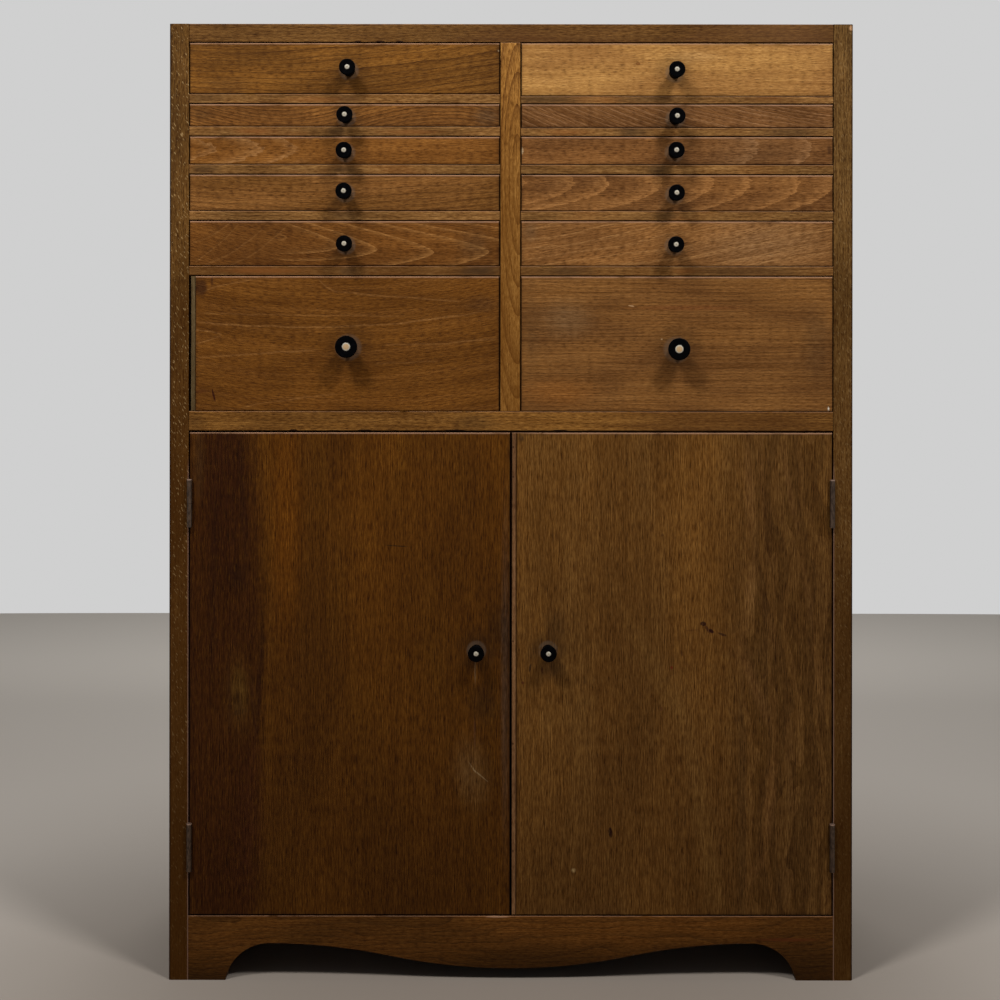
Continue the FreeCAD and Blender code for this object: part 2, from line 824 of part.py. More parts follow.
def make_drawer(column, number):
    """One drawer: its front with the knob, its dovetailed sides and back, and its bottom."""
    name = f"drawer_{column}_{number}"
    row_low, row_high = rows[column][number - 1]
    column_left, column_right = COLUMNS[column]
    left = column_left + drawer_gap
    low = row_low + drawer_lift
    rise = row_high - drawer_gap - low
    pieces = []
    if name == "drawer_left_6":
        strip_left = left + size("packing_gap")
        pieces.append(make_packing_strip(strip_left, low, rise))
        left = strip_left + size("packing_thickness")
    width = column_right - drawer_gap - left
    side_height = rise - size("side_drop")
    tails = dovetails(side_height)

    board = make_drawer_front(f"{name}_board", left, low, width, rise, tails)
    right_drift, drop = KNOB_DRIFT[column][number - 1]
    knob_x = (column_left + column_right) / 2 + right_drift
    knob_z = (row_low + row_high) / 2 - drop
    knob = make_knob(f"{name}_knob", knob_x, knob_z, large=number == ROW_COUNT)
    pieces.append(group(f"{name}_front", [board, *knob]))

    right_side_left = left + width - drawer_side
    sides_and_back = [
        make_drawer_side(f"{name}_left_side", "left", left, low, side_height, tails),
        make_drawer_side(f"{name}_right_side", "right", right_side_left, low, side_height, tails),
        block(
            f"{name}_back",
            left + drawer_side,
            face + drawer_length - drawer_side,
            low + groove_high,
            width - drawer_side * 2,
            drawer_side,
            side_height - groove_high,
        ),
    ]
    pieces.append(group(f"{name}_sides_and_back", sides_and_back))

    inset = drawer_side - groove_depth
    bottom = block(
        f"{name}_bottom",
        left + inset,
        face + front_thickness - groove_depth,
        low + groove_low,
        width - inset * 2,
        drawer_length - front_thickness + groove_depth,
        size("drawer_bottom"),
    )
    pieces.append(bottom)
    return pieces


def make_drawer_stops():
    """A small block behind each drawer, glued to the back panel, that stops it flush."""
    thickness = size("stop_thickness")
    width = size("stop_width")
    stops = []
    for column, (left, right) in COLUMNS.items():
        for number, (low, high) in enumerate(rows[column], start=1):
            x = (left + right) / 2 - width / 2
            y = face + inner_depth - thickness
            rise = (high - low) / 2
            stops.append(block(f"stop_{column}_{number}", x, y, low, width, thickness, rise))
    return group("drawer_stops", stops)


# ---------------------------------------------------------------- the whole cabinet

nodes = [
    make_side("left"),
    make_side("right"),
    make_top_board(),
    make_middle_board(),
    make_bottom_board(),
    make_divider(),
    make_drawer_shelves("left"),
    make_drawer_shelves("right"),
    make_apron(),
    make_glue_blocks(),
    make_back_panel(),
    make_cupboard_shelf(),
    make_shelf_battens(),
    make_door_stop(),
    make_drawer_stops(),
]
nodes += make_hinges()
nodes += make_doors()
for column in COLUMNS:
    for number in range(1, ROW_COUNT + 1):
        nodes += make_drawer(column, number)
doc.recompute()


def check_document():
    """Every object is up to date, every cut removes wood and every node is a valid shape."""
    for thing in doc.Objects:
        if "Invalid" in thing.State or "Error" in thing.State:
            raise RuntimeError(f"{thing.Label} failed: {thing.State}")
        if thing.TypeId == "PartDesign::Pocket":
            before = thing.BaseFeature.Shape.Volume
            if thing.Shape.Volume > before - TOLERANCE:
                raise RuntimeError(f"{thing.Label} cuts nothing")
    for node in nodes:
        if node.Shape.isNull() or not node.Shape.isValid():
            raise RuntimeError(f"{node.Label} has no valid shape")


check_document()
os.makedirs("parts", exist_ok=True)
for node in nodes:
    node.Shape.exportStep(f"parts/{node.Label}.step")
print(len(nodes), "nodes written")
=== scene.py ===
"""Finishes and fine forms of the haberdashery cabinet, in the order in which it is put together.

Lengths are in mm in the tables and in the finishes, and in metres in the meshes.
"""

import math

import bmesh
import bpy
import mathutils
import numpy as np
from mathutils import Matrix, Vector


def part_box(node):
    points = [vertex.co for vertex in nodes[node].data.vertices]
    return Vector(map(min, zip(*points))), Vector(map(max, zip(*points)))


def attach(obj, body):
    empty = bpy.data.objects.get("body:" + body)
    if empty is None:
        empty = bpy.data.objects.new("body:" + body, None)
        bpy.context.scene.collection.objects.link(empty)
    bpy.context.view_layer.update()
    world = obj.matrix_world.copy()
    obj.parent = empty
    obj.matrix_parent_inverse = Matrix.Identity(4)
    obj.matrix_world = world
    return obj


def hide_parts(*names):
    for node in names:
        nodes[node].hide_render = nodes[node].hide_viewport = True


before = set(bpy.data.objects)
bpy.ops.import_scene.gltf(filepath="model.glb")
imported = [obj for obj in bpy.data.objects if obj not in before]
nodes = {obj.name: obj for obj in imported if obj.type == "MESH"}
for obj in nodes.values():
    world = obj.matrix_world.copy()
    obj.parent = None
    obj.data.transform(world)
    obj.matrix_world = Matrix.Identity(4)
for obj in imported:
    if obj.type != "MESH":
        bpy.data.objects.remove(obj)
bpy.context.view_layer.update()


# ---------------- sides
# Two full-height boards, stained brown with a thin varnish that has darkened with age. Their
# narrow front edges cut across the wood's rays, which show there as short pale flecks.

MM = 0.001
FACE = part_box("left_side")[0].y / MM
SIDE_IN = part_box("right_side")[0].x / MM
CABINET_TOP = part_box("right_side")[1].z / MM


class Value:
    """A socket in a finish. Sums, products and powers of values add Math nodes to the finish."""

    def __init__(self, socket):
        self.socket = socket

    def node(self, kind, settings=(), inputs=(), output=0):
        """Adds a node: its settings first, a ramp's stops among them, then its values or links."""
        tree = self.socket.id_data
        made = tree.nodes.new("ShaderNode" + kind)
        for name, setting in dict(settings).items():
            if name == "stops":
                elements = made.color_ramp.elements
                elements.remove(elements[1])
                elements[0].position, elements[0].color = setting[0]
                for place, colour in setting[1:]:
                    elements.new(place).color = colour
            else:
                setattr(made, name, setting)
        for place, value in dict(inputs).items():
            if isinstance(value, Value):
                tree.links.new(value.socket, made.inputs[place])
            else:
                made.inputs[place].default_value = value
        return Value(made.outputs[output])

    def math(self, operation, *numbers):
        return self.node("Math", {"operation": operation}, enumerate(numbers))

    def __add__(self, other):
        return self.math("ADD", self, other)

    def __sub__(self, other):
        return self.math("SUBTRACT", self, other)

    def __rsub__(self, other):
        return self.math("SUBTRACT", other, self)

    def __mul__(self, other):
        return self.math("MULTIPLY", self, other)

    def __truediv__(self, other):
        return self.math("DIVIDE", self, other)

    def __pow__(self, other):
        return self.math("POWER", self, other)

    def __abs__(self):
        return self.math("ABSOLUTE", self)

    __radd__ = __add__
    __rmul__ = __mul__


def between(value, low, high, most=1):
    """0 at low and the most, or 1, at high, with a soft step from one to the other."""
    settings = {"interpolation_type": "SMOOTHSTEP"}
    inputs = {"Value": value, "From Min": low, "From Max": high, "To Max": most}
    return value.node("MapRange", settings, inputs)


def blend(factor, first, second):
    """The first colour where the factor is 0 and the second where it is 1."""
    return factor.node("Mix", {"data_type": "RGBA"}, {0: factor, 6: first, 7: second}, 2)


def paint(red, green, blue):
    """A colour given from 0 to 255 as it is seen, turned into light."""
    seen = np.array([red, green, blue]) / 255
    light = np.where(seen < 0.04045, seen / 12.92, ((seen + 0.055) / 1.055) ** 2.4)
    return (*light.tolist(), 1)


class Finish:
    """A surface's colour, roughness and relief, built up in layers as the real finish is."""

    def __init__(self, name, roughness=0.5, specular=0.05):
        self.material = bpy.data.materials.new(name)
        self.material.use_nodes = True
        tree = self.material.node_tree
        self.shader = tree.nodes["Principled BSDF"]
        self.shader.inputs["Specular IOR Level"].default_value = specular
        place = Value(tree.nodes.new("ShaderNodeTexCoord").outputs["Object"])
        scaled = place.node("VectorMath", {"operation": "SCALE"}, {0: place, "Scale": 1 / MM})
        self.x = scaled.node("SeparateXYZ", (), {0: scaled})
        self.y = Value(self.x.socket.node.outputs[1])
        self.z = Value(self.x.socket.node.outputs[2])
        self.colour = None
        self.roughness = roughness
        self.height = 0

    def clouds(self, places, lengths, detail=2, share=0.5):
        """Noise about 0.5 whose patches have the given lengths in mm along three places."""
        near = [place / length for place, length in zip(places, lengths)]
        vector = near[0].node("CombineXYZ", (), enumerate(near))
        inputs = {"Vector": vector, "Scale": 1, "Detail": detail, "Roughness": share}
        return vector.node("TexNoise", (), inputs)

    def shade(self, factor, colour):
        """Lays a colour over what is there, as thick as the factor."""
        self.colour = blend(factor, self.colour, paint(*colour))

    def deepen(self, pattern, share):
        """Darker and redder where a pattern lies above its middle, 0.5, paler and greyer below."""
        light = 1 - (pattern - 0.5) * (2 * share)
        light = light.math("MAXIMUM", light, 0.1)
        tint = light.node("CombineXYZ", (), {0: light, 1: light ** 1.2, 2: light ** 1.5})
        inputs = {0: self.colour, 1: tint}
        self.colour = light.node("VectorMath", {"operation": "MULTIPLY"}, inputs)

    def give(self, *pieces, relief=0.1):
        """Ties the layers to the shader and gives the finish to the pieces."""
        tree = self.material.node_tree
        for name, value in (("Base Color", self.colour), ("Roughness", self.roughness)):
            if isinstance(value, Value):
                tree.links.new(value.socket, self.shader.inputs[name])
            else:
                self.shader.inputs[name].default_value = value
        if isinstance(self.height, Value):
            inputs = {"Height": self.height, "Strength": 0.5, "Distance": relief * MM}
            bumped = self.height.node("Bump", (), inputs)
            tree.links.new(bumped.socket, self.shader.inputs["Normal"])
        for piece in pieces:
            piece.data.materials.clear()
            piece.data.materials.append(self.material)


# Colours that the boards share, the slant of their rays, and how far grime and stain reach.
BARE = (150, 112, 70)
# The dark colour is grime on faces and in nicks, and painted shade in the gaps and on arrises that do
# not face up.
GRIME_AND_SHADE = (24, 9, 4)
# The pale colour is a painted highlight along upper edges and arrises.
WEAR_AND_HIGHLIGHT = (176, 134, 104)
GROWTH = (150, 104, 56)
FLECK_TURN = 1.1
GRIME_REACH = 4
STAIN_REACH = (14, 30)


class Wood(Finish):
    """A board's finish. Along follows the grain, across goes over the board and into goes in."""

    def __init__(self, name, grain, pale, dark, middle=(0, 0), tilt=0, bow=0, wave=None, patch=150):
        super().__init__(name)
        x, z, into = self.x - middle[0], self.z - middle[1], self.y - FACE
        self.along, self.over, self.into = {
            "x": (x, z, into), "z": (z, x, into), "y": (into, x, z),
        }[grain]
        bend = self.along * tilt + self.along * self.along * bow
        if wave:
            height, length, start = wave
            turn = (self.along - start) / length
            bend = bend + turn.math("SINE", turn) * height
        self.across = self.over - bend
        self.places = (self.along, self.across, self.into)
        self.front = self.x.node("CombineXYZ", (), {0: self.x, 1: self.z})
        self.ragged = self.clouds((self.x, self.z, self.y), (6, 6, 6), 3) - 0.5
        tone = self.clouds(self.places, (patch, patch / 3, patch / 3), 3)
        self.colour = blend(between(tone, 0.32, 0.68), paint(*pale), paint(*dark))
        self.roughness = 0.42 + 0.16 * tone

    def rings(self, spacing, strength, colour, heart=-400, depth=0, lean=0, sharp=4, jag=0,
              waver=10, window=None, beside=None, point=2):
        """Growth rings where the face cuts them.

        The distance from the tree's heart, swayed by slow noise, is divided by the ring width.
        Its fraction grows over each year and ends in a sharp edge. A point below 2 gives the
        rings a sharper tip.
        """
        sway = (self.clouds(self.places, (150, 45, 45), 2) - 0.5) * (2 * waver)
        deep = self.along * lean + self.into + depth
        if jag:
            deep = deep + (self.clouds(self.places, (9, 3, 3), 2) - 0.5) * (2 * jag)
        side = self.across - heart + sway
        radius = (abs(side) ** point + abs(deep) ** point) ** (1 / point)
        years = radius / spacing
        uneven = self.clouds((radius, radius * 0, radius * 0), (2.5 * spacing, 1, 1), 1)
        years = years + uneven * 1.6
        share = years.math("FRACT", years) ** sharp
        if window:
            share = share * between(self.along, *window)
        if beside:
            share = share * between(self.over, *beside)
        self.shade(share * strength, colour)
        self.height = self.height - share * 0.3

    def fibres(self, share, length=90, width=1.7, fine=1, dash=7):
        """Lines that run with the grain, with short fine ones between, darker and paler."""
        lines = self.clouds(self.places, (length, width, width), 3, 0.6)
        short = self.clouds(self.places, (dash, 1.2, 1.2), 2, 0.7)
        lines = (lines - 0.5) * share + (short - 0.5) * (share * fine) + 0.5
        self.deepen(lines, 1)
        self.height = self.height - lines * 0.6

    def pores(self, strength, colour, length=7, width=0.55, amount=0.58):
        """Short dark dashes, each an open vessel of the wood."""
        dashes = self.clouds(self.places, (length, width, width), 1)
        open_part = between(dashes, amount, amount + 0.1)
        self.shade(open_part * strength, colour)
        self.height = self.height - open_part

    def flecks(self, strength, colour, length, width, amount=0.63):
        """Rays cut short on the front edge, which show as small pale slanting dashes."""
        cos, sin = math.cos(FLECK_TURN), math.sin(FLECK_TURN)
        slant = (self.x * cos - self.z * sin, self.x * sin + self.z * cos, self.y)
        dashes = self.clouds(slant, (length, width, width), 1)
        dashes = between(dashes, amount, amount + 0.08) * between(self.into, 1.5, 0.5)
        self.shade(dashes * between(self.z, -200, 1000, strength), colour)

    def painted_shade_below(self, high, low, strength, colour):
        """Painted shade, deeper towards the floor, where the light falls off lower down."""
        self.shade(between(self.z, high, low, strength), colour)

    def cloud(self, strength, colour, size=(120, 40), low=0.5, high=0.75, seed=0):
        """A wide soft change of tone."""
        drift = (self.along + seed, self.over + seed, self.into)
        tone = self.clouds(drift, (size[0], size[1], size[1]), 3, 0.55)
        self.shade(between(tone, low, high) * strength, colour)

    def growth_line(self, start, end, low, rise, bow, strength):
        """One pale growth line across the face, with the darker late wood above it.

        Between start and end its height is low + rise t + 4 bow t (1 - t), with t from 0 to 1.
        """
        share = (self.x - start) / (end - start)
        line = share * rise + share * (1 - share) * (4 * bow) + low
        sway = (self.clouds((self.x, self.z, self.y), (30, 30, 30), 2) - 0.5) * 5
        above = self.z - line + sway
        inside = between(share, 0, 0.08) * between(share, 1, 0.85)
        late = between(above, 7, 0) * between(above, 0, 0.6)
        self.shade(late * inside * (strength * 0.5), (70, 40, 16))
        self.shade(between(abs(above), 1.5, 0.1) * inside * strength, GROWTH)

    def mark(self, x, z, width, height, strength, colour, turn=0, soft=0.6, ragged=0.0):
        """A spot, streak or stain: an oval of the given half sizes, turned by some degrees."""
        turned_back = (0, 0, math.radians(turn))
        inputs = {"Vector": self.front, "Location": (x, z, 0), "Rotation": turned_back}
        inputs["Scale"] = (width, height, 1)
        spot = self.x.node("Mapping", {"vector_type": "TEXTURE"}, inputs)
        away = spot.node("VectorMath", {"operation": "LENGTH"}, {0: spot}, "Value")
        if ragged:
            away = away + self.ragged * ragged
        self.shade(between(away, 1, 1 - soft, strength), colour)

    def grimy_edges_and_highlight(self, low, high):
        """Grime that gathers along the edges of a front, and a painted highlight along its upper edge.
        """
        near_x = self.x.math("MINIMUM", self.x - low.x / MM, high.x / MM - self.x)
        near_z = self.x.math("MINIMUM", self.z - low.z / MM, high.z / MM - self.z)
        gap = near_x.math("MINIMUM", near_x, near_z)
        patchy = self.clouds((self.x, self.z, self.y), (28, 28, 28), 3, 0.6)
        depth = between(gap + (patchy - 0.5) * 2 * GRIME_REACH, GRIME_REACH, -GRIME_REACH * 0.4)
        self.shade(depth * 0.4, GRIME_AND_SHADE)
        # Painted highlight: a pale line just below the upper edge.
        top = high.z / MM
        pale_edge = between(self.z, top - 2, top - 1) * between(patchy, 0.25, 0.5)
        self.shade(pale_edge * 0.5, WEAR_AND_HIGHLIGHT)

    def arrises(self, strength, within=1):
        """The front arrises and the walls of the gaps behind them.

        The arris that faces up gets a painted highlight, the others painted shade, and the
        walls of the gaps painted shade, black for a few millimetres in.
        """
        facing = self.x.node("NewGeometry", (), (), "True Normal")
        upwards = facing.node("SeparateXYZ", (), {0: facing}, 2)
        top = between(upwards, 0.2, 0.4)
        # Painted shade on the walls of the gaps.
        wall = between(self.into - top * 0.25, 0.5, 0.8) * between(self.into, 8, 4)
        self.shade(wall * within * 0.9, GRIME_AND_SHADE)
        edge = between(self.into, 0.02, 0.15) * between(self.into, 1.1, 0.8)
        # Painted shade on the arrises that do not face up.
        self.shade(edge * (1 - top) * 0.6, GRIME_AND_SHADE)
        patchy = self.clouds((self.x, self.z, self.y), (22, 22, 22), 3, 0.6)
        # Painted highlight on the arris that faces up.
        self.shade(edge * top * between(patchy, 0.3, 0.45) * strength, WEAR_AND_HIGHLIGHT)

    def bare(self, factor, strength=0.85):
        """Wood that the stain and varnish never reached, browned by dust and age."""
        tone = self.clouds(self.places, (60, 8, 8), 3)
        old = blend(tone, paint(*BARE), paint(118, 82, 48))
        self.colour = blend(factor * strength, self.colour, old)
        grain = self.clouds(self.places, (36, 1.6, 1.6), 3, 0.7) - 0.5
        self.deepen(grain * factor + 0.5, 0.8)
        self.roughness = self.roughness + factor * 0.25


SIDES = {
    "left": dict(pale=(119, 82, 38), dark=(89, 59, 23)),
    "right": dict(pale=(115, 82, 41), dark=(85, 59, 26)),
}

for hand, tones in SIDES.items():
    outwards = -1 if hand == "left" else 1
    wood = Wood(f"{hand}_side_finish", "z", middle=(outwards * SIDE_IN, 500), **tones)
    wood.rings(7, 0.25, (50, 30, 12), heart=outwards * 60, depth=30, lean=0.05, waver=6)
    wood.fibres(0.9, length=40, width=1.6, fine=1.6)
    wood.pores(0.45, (36, 20, 8))
    wood.cloud(0.4, (56, 34, 12), size=(260, 60))
    # Painted shade: the sides darken towards the floor, where the light falls off.
    wood.painted_shade_below(1000, 500, 0.75 if hand == "left" else 0.5, (62, 32, 2))
    wood.painted_shade_below(560, 60, 0.5, (50, 25, 1))
    if hand == "left":
        wood.flecks(0.6, (176, 144, 96), length=5, width=1.5, amount=0.635)
    else:
        wood.flecks(0.3, (164, 134, 88), length=5, width=1.5)
        wood.mark(368, 1031, 3, 4, 0.8, (196, 150, 108), ragged=0.5)
        wood.mark(344, 617.5, 5, 1, 0.7, (196, 180, 150), turn=-12)
    # A pale line along the inner arris of each side, below the middle board.
    pale_edge = between(abs(wood.x), SIDE_IN + 1.3, SIDE_IN + 0.7) * between(wood.into, 0.5, 0.1)
    wood.shade(pale_edge * between(wood.z, 570, 540) * 0.4, (150, 118, 104))
    inner = between(abs(wood.x), SIDE_IN + 0.6, SIDE_IN + 0.2)
    wood.bare(inner * between(wood.into, 8, 30))
    wood.arrises(0.15, inner)
    wood.give(nodes[f"{hand}_side"])


# ---------------- top board
# One board between the sides, level with their ends. Its upper face has had long use, with
# rings left by cups and a duller sheen. The underside was never finished.

TOP_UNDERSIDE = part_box("top_board")[0].z / MM
CUP_RINGS = ((-120, -40, 38), (-58, 12, 38), (190, 60, 33))

wood = Wood("top_board_finish", "x", (110, 74, 34), (86, 56, 23), middle=(0, CABINET_TOP), patch=260)
wood.rings(9, 0.25, (60, 36, 14), heart=-250, lean=0.03, waver=14)
wood.fibres(0.8, length=80, width=1.5, fine=1.7)
wood.deepen(wood.clouds(wood.places, (130, 8, 8), 3), 0.5)
wood.pores(0.4, (44, 25, 10), length=9)
wood.cloud(0.4, (98, 60, 34), size=(300, 90), low=0.45)
# Painted sheen: a paler patch towards the right end of the board.
wood.mark(300, 1025, 90, 30, 0.35, (106, 72, 44), soft=0.9)
for x, width in ((-166, 4), (-142, 6), (-121, 5)):
    wood.mark(x, TOP_UNDERSIDE + 0.6, width, 1.3, 0.9, GRIME_AND_SHADE, soft=0.3, ragged=0.5)
upper = between(wood.z, CABINET_TOP - 1.5, CABINET_TOP - 0.5)
for x, y, radius in CUP_RINGS:
    right, back = wood.x - x, wood.y - y
    away = abs((right * right + back * back) ** 0.5 - radius)
    broken = between(wood.clouds((wood.x, wood.y, wood.z), (30, 30, 30), 3), 0.35, 0.6)
    wood.shade(between(away, 2.2, 0.4) * broken * upper * 0.45, (52, 32, 15))
wood.roughness = wood.roughness + upper * 0.12
under = between(wood.z, TOP_UNDERSIDE + 0.6, TOP_UNDERSIDE + 0.2)
wood.bare(under * between(wood.into, 8, 25))
wood.arrises(0.15, under)
wood.give(nodes["top_board"])


# ---------------- middle board
# The board that parts the drawers from the cupboard, housed in both sides. Only its front edge
# was stained.

MIDDLE = [corner.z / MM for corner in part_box("middle_board")]

wood = Wood("middle_board_finish", "x", (132, 88, 37), (105, 68, 27), middle=(0, MIDDLE[0]), patch=220)
wood.rings(8, 0.25, (62, 36, 14), heart=-300, lean=0.03, waver=12)
wood.fibres(0.8, length=80, width=1.5, fine=1.7)
wood.deepen(wood.clouds(wood.places, (120, 8, 8), 3), 0.5)
wood.pores(0.35, (44, 25, 10), length=9)
wood.mark(230, 604, 190, 40, 0.52, (76, 45, 20), soft=0.8)
wood.mark(-40, 604, 34, 16, 0.4, (60, 40, 20), soft=0.9)
wood.mark(-342, 604, 16, 16, 0.4, (60, 38, 18), soft=0.9)
wood.bare(between(wood.into, *STAIN_REACH))
for x, width in ((-158, 9), (-61, 14), (53, 9), (-236, 5)):
    wood.mark(x, MIDDLE[0] + 0.4, width, 1.4, 0.9, GRIME_AND_SHADE, soft=0.3, ragged=0.5)
wood.arrises(0.3)
wood.give(nodes["middle_board"])


# ---------------- divider
# The upright between the two columns of drawers, of a yellower board, with the grain running
# up and a curved figure low down.

wood = Wood("divider_finish", "z", (179, 127, 62), (142, 95, 40), middle=(-1, 700), patch=160)
wood.rings(4.5, 0.85, (84, 46, 14), heart=8, depth=20, lean=-0.12, sharp=3, waver=4)
wood.fibres(0.8, length=60, width=1.5, fine=1.7)
wood.pores(0.25, (70, 40, 16))
# Painted shade: darker down from the top, where the light falls off.
wood.painted_shade_below(1010, 820, 0.64, (100, 60, 15))
wood.bare(between(wood.into, *STAIN_REACH))
wood.arrises(0.3)
wood.give(nodes["centre_divider"])


# ---------------- apron
# The shaped board below the doors. Bandsawn to its double curve, cleaned up with a spokeshave
# and stained on the front; its back and its sawn edge stayed rough.

APRON_Z = [corner.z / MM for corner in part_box("front_apron")]

wood = Wood("apron_finish", "x", (103, 62, 22), (77, 46, 15), middle=(20, 40), patch=200)
wood.rings(5.5, 0.5, (46, 27, 9), heart=60, depth=60, lean=0.02, sharp=3, waver=26)
wood.fibres(0.7, length=70, width=1.5, fine=1.5)
wood.pores(0.35, (34, 19, 8))
wood.mark(300, 44, 46, 3, 0.5, (96, 44, 20), soft=0.8, ragged=0.3)
# Painted shade: darker down to the feet.
wood.painted_shade_below(APRON_Z[1], -20, 0.85, (26, 14, 4))
wood.mark(-14, APRON_Z[1] - 0.8, 16, 1.2, 0.6, WEAR_AND_HIGHLIGHT, soft=0.4)
wood.bare(between(wood.into, 14, 19), 0.6)
wood.arrises(0.25)
wood.give(nodes["front_apron"])


# ---------------- drawer shelves
# Ten thin shelves, five to a column, on which the drawers slide. Their front edges are stained
# with the rest; the runs behind are bare and polished by the drawers.

# Darker spots on the shelves' front edges, many of them below the knobs: x, z, half width and strength.
SHELF_DARK_SPOTS = {
    "left": (
        (-178, 954, 22, 0.5), (-330, 954, 30, 0.3), (-186, 918.5, 20, 0.55), (-180, 877.5, 24, 0.7),
        (-330, 877.5, 24, 0.6), (-180, 827.5, 22, 0.5), (-36, 767.5, 34, 0.75), (-176, 767.5, 18, 0.6),
    ),
    "right": (
        (40, 954, 60, 0.6), (150, 954, 60, 0.55), (130, 918, 26, 0.7), (300, 918, 60, 0.6),
        (160, 877.5, 20, 0.6), (170, 827.5, 22, 0.5), (60, 767.5, 46, 0.6), (250, 767.5, 100, 0.5),
    ),
}
SHELF_REDS = {
    "left": ((-210, 953, 60), (-280, 919, 30), (-110, 918, 50), (-270, 768, 70)),
    "right": ((60, 918, 40), (190, 768, 22)),
}

LOWEST_SHELF = 767

for hand, dark_spots in SHELF_DARK_SPOTS.items():
    wood = Wood(f"{hand}_shelves_finish", "x", (134, 93, 48), (110, 76, 38), middle=(0, 900), patch=120)
    wood.rings(6, 0.25, (80, 48, 20), heart=-260, lean=0.02, waver=9)
    wood.fibres(0.8, length=50, width=1.4, fine=1.7)
    wood.deepen(wood.clouds(wood.places, (50, 5, 5), 3), 0.6)
    wood.pores(0.35, (60, 36, 16), length=6)
    wood.cloud(0.3, (146, 86, 40), size=(90, 30), low=0.5, seed=40)
    lowest = between(abs(wood.z - LOWEST_SHELF), 8, 6)
    wood.shade(lowest * (0.5 if hand == "left" else 0.3), (84, 48, 14))
    for x, z, width in SHELF_REDS[hand]:
        wood.mark(x, z, width, 4.5, 0.35, (148, 88, 40), soft=0.9, ragged=0.4)
    for x, z, width, strength in dark_spots:
        wood.mark(x, z, width, 9, strength, (62, 44, 26), soft=0.9, ragged=0.4)
    wood.bare(between(wood.into, *STAIN_REACH))
    wood.arrises(0.3)
    wood.give(nodes[f"{hand}_drawer_shelves"])


# ---------------- inner boards
# Cupboard bottom and shelf, battens, stops and glue blocks: plain softwood, sawn, planed where
# it shows and left unstained behind the doors.

wood = Wood("inner_board_finish", "x", (134, 98, 58), (112, 80, 46), middle=(0, 300), patch=200)
wood.rings(7, 0.3, (104, 68, 34), heart=-180, depth=40, lean=0.04, waver=14)
wood.fibres(0.5)
wood.pores(0.2, (70, 46, 24))
wood.cloud(0.3, (96, 72, 46), size=(160, 60))
wood.give(*(nodes[name] for name in (
    "bottom_board", "cupboard_shelf", "door_stop_batten", "shelf_battens", "apron_glue_blocks",
    "drawer_stops",
)))


# ---------------- back panel
# A sheet of thin plywood, pinned into rebates in the sides and top. It is raw inside and
# darkened by dust outside. The heads of the panel pins are rusty.

BACK_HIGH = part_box("back_panel")[1] / MM
PIN_SPACING = 90
PIN_INSET = 5

wood = Wood("back_panel_finish", "z", (140, 104, 64), (114, 82, 48), middle=(60, 600), patch=300)
wood.rings(14, 0.3, (98, 66, 36), heart=40, depth=120, lean=0.14, sharp=3, waver=40)
wood.fibres(0.5, length=60)
wood.pores(0.4, (76, 50, 26), length=5)
wood.cloud(0.45, (84, 66, 46), size=(420, 160))
to_side = abs(abs(wood.x) - (BACK_HIGH.x - PIN_INSET))
to_top = abs(wood.z - (BACK_HIGH.z - PIN_INSET))
step_up, step_across = (
    abs((place / PIN_SPACING).math("FRACT", place / PIN_SPACING) - 0.5) * PIN_SPACING
    for place in (wood.z, wood.x)
)
to_pin = wood.x.math(
    "MINIMUM",
    (to_side * to_side + step_up * step_up) ** 0.5,
    (to_top * to_top + step_across * step_across) ** 0.5,
)
outside = between(wood.y, BACK_HIGH.y - 1, BACK_HIGH.y - 0.3)
wood.shade(between(to_pin, 7, 1) * outside * 0.4, (74, 48, 26))
wood.shade(between(to_pin, 1.5, 1) * outside, (46, 30, 22))
wood.give(nodes["back_panel"])


# ---------------- hinges
# Four steel butt hinges, let into the doors and the sides, gone brown with age. Each leaf is
# held by three countersunk screws with slotted heads, which show when a door stands open.

HINGE_MIDDLES = (516.2, 144.2)

metal = Finish("hinge_metal", specular=0.5)
metal.shader.inputs["Metallic"].default_value = 0.7
patches = metal.clouds((metal.x, metal.y, metal.z), (2, 2, 7), 3, 0.6)
metal.colour = blend(between(patches, 0.35, 0.7), paint(84, 66, 52), paint(44, 32, 24))
# A painted highlight on the upper end of each barrel.
for middle in HINGE_MIDDLES:
    cap_highlight = between(metal.z, middle + 24.4, middle + 25.2) * between(metal.z, middle + 26.6, middle + 26)
    metal.shade(cap_highlight * 0.7, (176, 146, 128))
metal.roughness = 0.2 + 0.3 * patches
metal.height = patches
metal.give(
    nodes["frame_hinge_leaves"], nodes["left_door_hinge_leaves"], nodes["right_door_hinge_leaves"],
    nodes["hinge_pins"], relief=0.15,
)

SCREW_RADIUS = 2.9
SCREW_PROUD = 0.08
SCREW_RIM = 0.02
SCREW_SINK = 0.3
SCREW_STEPS = ((-17.5, 2), (0, -2), (17.5, 2))
SLOT_WIDTH = 0.32


def add(name, mesh, body, slot, *replaced):
    """Puts a piece into the scene, on its body. The slot is not used."""
    piece = bpy.data.objects.new(name, mesh)
    bpy.context.scene.collection.objects.link(piece)
    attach(piece, body)
    if replaced:
        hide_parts(*replaced)
    return piece


